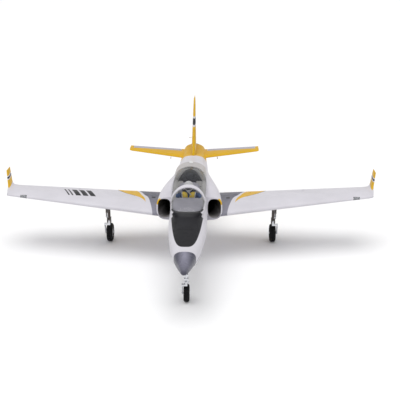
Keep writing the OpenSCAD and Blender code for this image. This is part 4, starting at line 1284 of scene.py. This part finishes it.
foam_shader("painted_foam", fuselage_paint)
foam_shader("hatch_foam", hatch_paint)
foam_shader("wing_foam", wing_paint)
foam_shader("yellow_foam", None, YELLOW)
foam_shader("fin_foam", fin_paint, YELLOW)
foam_shader("elevator_foam", None, (0.42, 0.41, 0.47))
painted("nose_plastic", nose_paint, 0.25, 0.38, WHITE)
painted("deck_black", glare_paint, 0.32, 0.45, BLACK)
painted("duct_plastic", duct_paint, 0.5, 0.65, BLACK)
painted("flying_suit", suit_paint, 0.65, 0.85, (0.03, 0.07, 0.18), 500, 0.1)
glass_shader("clear_canopy", (0.05, 0.055, 0.065), 0.15, 0.03, 0.06)
glass_shader("lamp_lens", (0.3, 0.31, 0.33), 0.55, 0.08, 0.14)

# Colour, lowest and highest roughness, and for some the grain's fineness and depth
PLAIN = {
    "slate_plastic": ((0.16, 0.17, 0.2), 0.35, 0.5),
    "dark_plastic": ((0.02, 0.02, 0.025), 0.35, 0.55),
    "panel_lilac": ((0.38, 0.37, 0.42), 0.4, 0.55),
    "cockpit_grey": ((0.42, 0.41, 0.40), 0.4, 0.55),
    "seat_cloth": ((0.035, 0.035, 0.045), 0.7, 0.9, 500, 0.08),
    "seal_rubber": ((0.012, 0.012, 0.014), 0.45, 0.6),
    "blade_plastic": ((0.02, 0.02, 0.022), 0.3, 0.42),
    "housing_plastic": ((0.03, 0.03, 0.034), 0.35, 0.5),
    "carbon_tube": ((0.018, 0.018, 0.02), 0.28, 0.4, 700, 0.05),
    "white_nylon": ((0.72, 0.72, 0.72), 0.38, 0.5),
    "battery_wrap": ((0.02, 0.07, 0.2), 0.3, 0.42),
    "controller_case": ((0.03, 0.03, 0.035), 0.4, 0.55),
    "harness_strap": ((0.78, 0.55, 0.03), 0.55, 0.7, 500, 0.08),
    "helmet_shell": ((0.75, 0.75, 0.76), 0.2, 0.3),
    "helmet_visor": ((0.01, 0.01, 0.012), 0.06, 0.12),
    "oxygen_mask": ((0.62, 0.62, 0.64), 0.5, 0.65),
}
METALS = {
    "hub_metal": ((0.62, 0.63, 0.66), 0.22, 0.36),
    "bright_metal": ((0.7, 0.71, 0.74), 0.2, 0.34),
    "steel_wire": ((0.6, 0.6, 0.62), 0.22, 0.34),
    "leg_metal": ((0.09, 0.08, 0.075), 0.3, 0.44),
    "retract_metal": ((0.12, 0.12, 0.14), 0.32, 0.46),
    "motor_metal": ((0.2, 0.2, 0.22), 0.28, 0.4),
}
for name, values in PLAIN.items():
    plain_shader(name, *values)
for name, values in METALS.items():
    plain_shader(name, *values, Metallic=1.0)
plain_shader("tyre_rubber", (0.009, 0.009, 0.01), 0.7, 0.85, 300, 0.06, Specular_IOR_Level=0.2)

# CAD nodes that are shown as they are, by material
CAD_LOOKS = {
    "housing_plastic": ["thrust_tube", "fan_housing"], "slate_plastic": ["exhaust_nozzle"],
    "motor_metal": ["fan_motor"], "blade_plastic": ["fan_rotor"], "carbon_tube": ["wing_spars"],
    "battery_wrap": ["battery_pack"], "controller_case": ["speed_controller"],
    "dark_plastic": ["servos"], "retract_metal": ["retract_units"], "fin_foam": ["rudder"],
    "leg_metal": ["nose_strut"], "bright_metal": ["nose_fork", "nose_link"],
    "white_nylon": ["hatch_latch", "rudder_arm"], "steel_wire": ["rudder_rod"],
    "wing_foam": [], "elevator_foam": [],
}
for side in ("_left", "_right"):
    CAD_LOOKS["leg_metal"].append("main_strut" + side)
    CAD_LOOKS["bright_metal"].append("main_link" + side)
    for surface in ("aileron", "flap", "elevator"):
        skin = "elevator_foam" if surface == "elevator" else "wing_foam"
        CAD_LOOKS[skin].append(surface + side)
        CAD_LOOKS["white_nylon"].append(surface + "_arm" + side)
        CAD_LOOKS["steel_wire"].append(surface + "_rod" + side)
for material, names in CAD_LOOKS.items():
    for name in names:
        set_material(nodes[name], material)

make_nose()
make_fuselage()
make_ducts()
make_hatch()
make_glass("windshield_glass", windshield_outline(0.6), "windshield")
make_glass("rear_glass", rear_glass_outline(0.6), "rear_canopy")
make_seal()
make_cockpit()
make_suit(SEAT_S)
make_head(SEAT_S)
make_harness(SEAT_S)
make_wings()
make_lamps()
make_stabilisers()
make_fin()
make_wheels()
make_dampers()

# ---- Stage, light and camera ----

FLOOR_HALF = 20000
FLOOR_COLOUR = (0.95, 0.95, 0.955)
floor_shader = Shader("studio_floor", FLOOR_COLOUR)
floor_shader.set("Base Color", floor_shader.tint(FLOOR_COLOUR, 0.01, 1.5))
floor_shader.set("Roughness", floor_shader.spread(floor_shader.noise(4), 0.85, 0.95))
corners = [(x * FLOOR_HALF, y * FLOOR_HALF, 0) for x, y in ((-1, -1), (1, -1), (1, 1), (-1, 1))]
floor = add_mesh("floor", corners, [(0, 1, 2, 3)])
floor.data.materials.append(floor_shader.material)


def add_light(name, kind, energy):
    data = bpy.data.lights.new(name, kind)
    data.energy = energy
    return link(bpy.data.objects.new(name, data))


def area_light(name, position, size, energy):
    """Rectangular lamp that faces the middle of the plane."""
    lamp = add_light(name, "AREA", energy)
    lamp.data.shape, lamp.data.size, lamp.data.size_y = "RECTANGLE", *size
    lamp.location = position
    facing = Vector((0, 0, 0.2)) - Vector(position)
    lamp.rotation_euler = facing.to_track_quat("-Z", "Y").to_euler()


sun = add_light("soft_sun", "SUN", 1.5)
sun.data.angle = 0.9
sun.rotation_euler = (radians(8), radians(-4), 0)
area_light("front_fill", (0.2, -3.2, 1.7), (2.6, 1.4), 7)
area_light("side_left", (3.0, -0.4, 1.4), (1.6, 1.6), 5)
area_light("side_right", (-3.0, -0.4, 1.4), (1.6, 1.6), 5)

world = bpy.data.worlds.new("studio")
world.use_nodes = True
world.node_tree.nodes["Background"].inputs["Color"].default_value = (1, 1, 1, 1)
world.node_tree.nodes["Background"].inputs["Strength"].default_value = 0.62
bpy.context.scene.world = world
bpy.context.scene.view_settings.view_transform = "Standard"

CAMERA_AT, CAMERA_TO = Vector((0.1011, -3.3068, 1.2897)), Vector((0.1458, -0.0125, 0.1953))
ROLL = 0.584
camera_data = bpy.data.cameras.new("view")
camera_data.sensor_width, camera_data.lens = 36, 81.05
camera_data.shift_x, camera_data.shift_y = -0.0707, 0.0106
camera_data.dof.use_dof = False
camera = link(bpy.data.objects.new("view", camera_data))
camera.location = CAMERA_AT
facing = (CAMERA_TO - CAMERA_AT).to_track_quat("-Z", "Y").to_matrix()
camera.rotation_euler = (facing @ Matrix.Rotation(radians(ROLL), 3, "Z")).to_euler()
bpy.context.scene.camera = camera
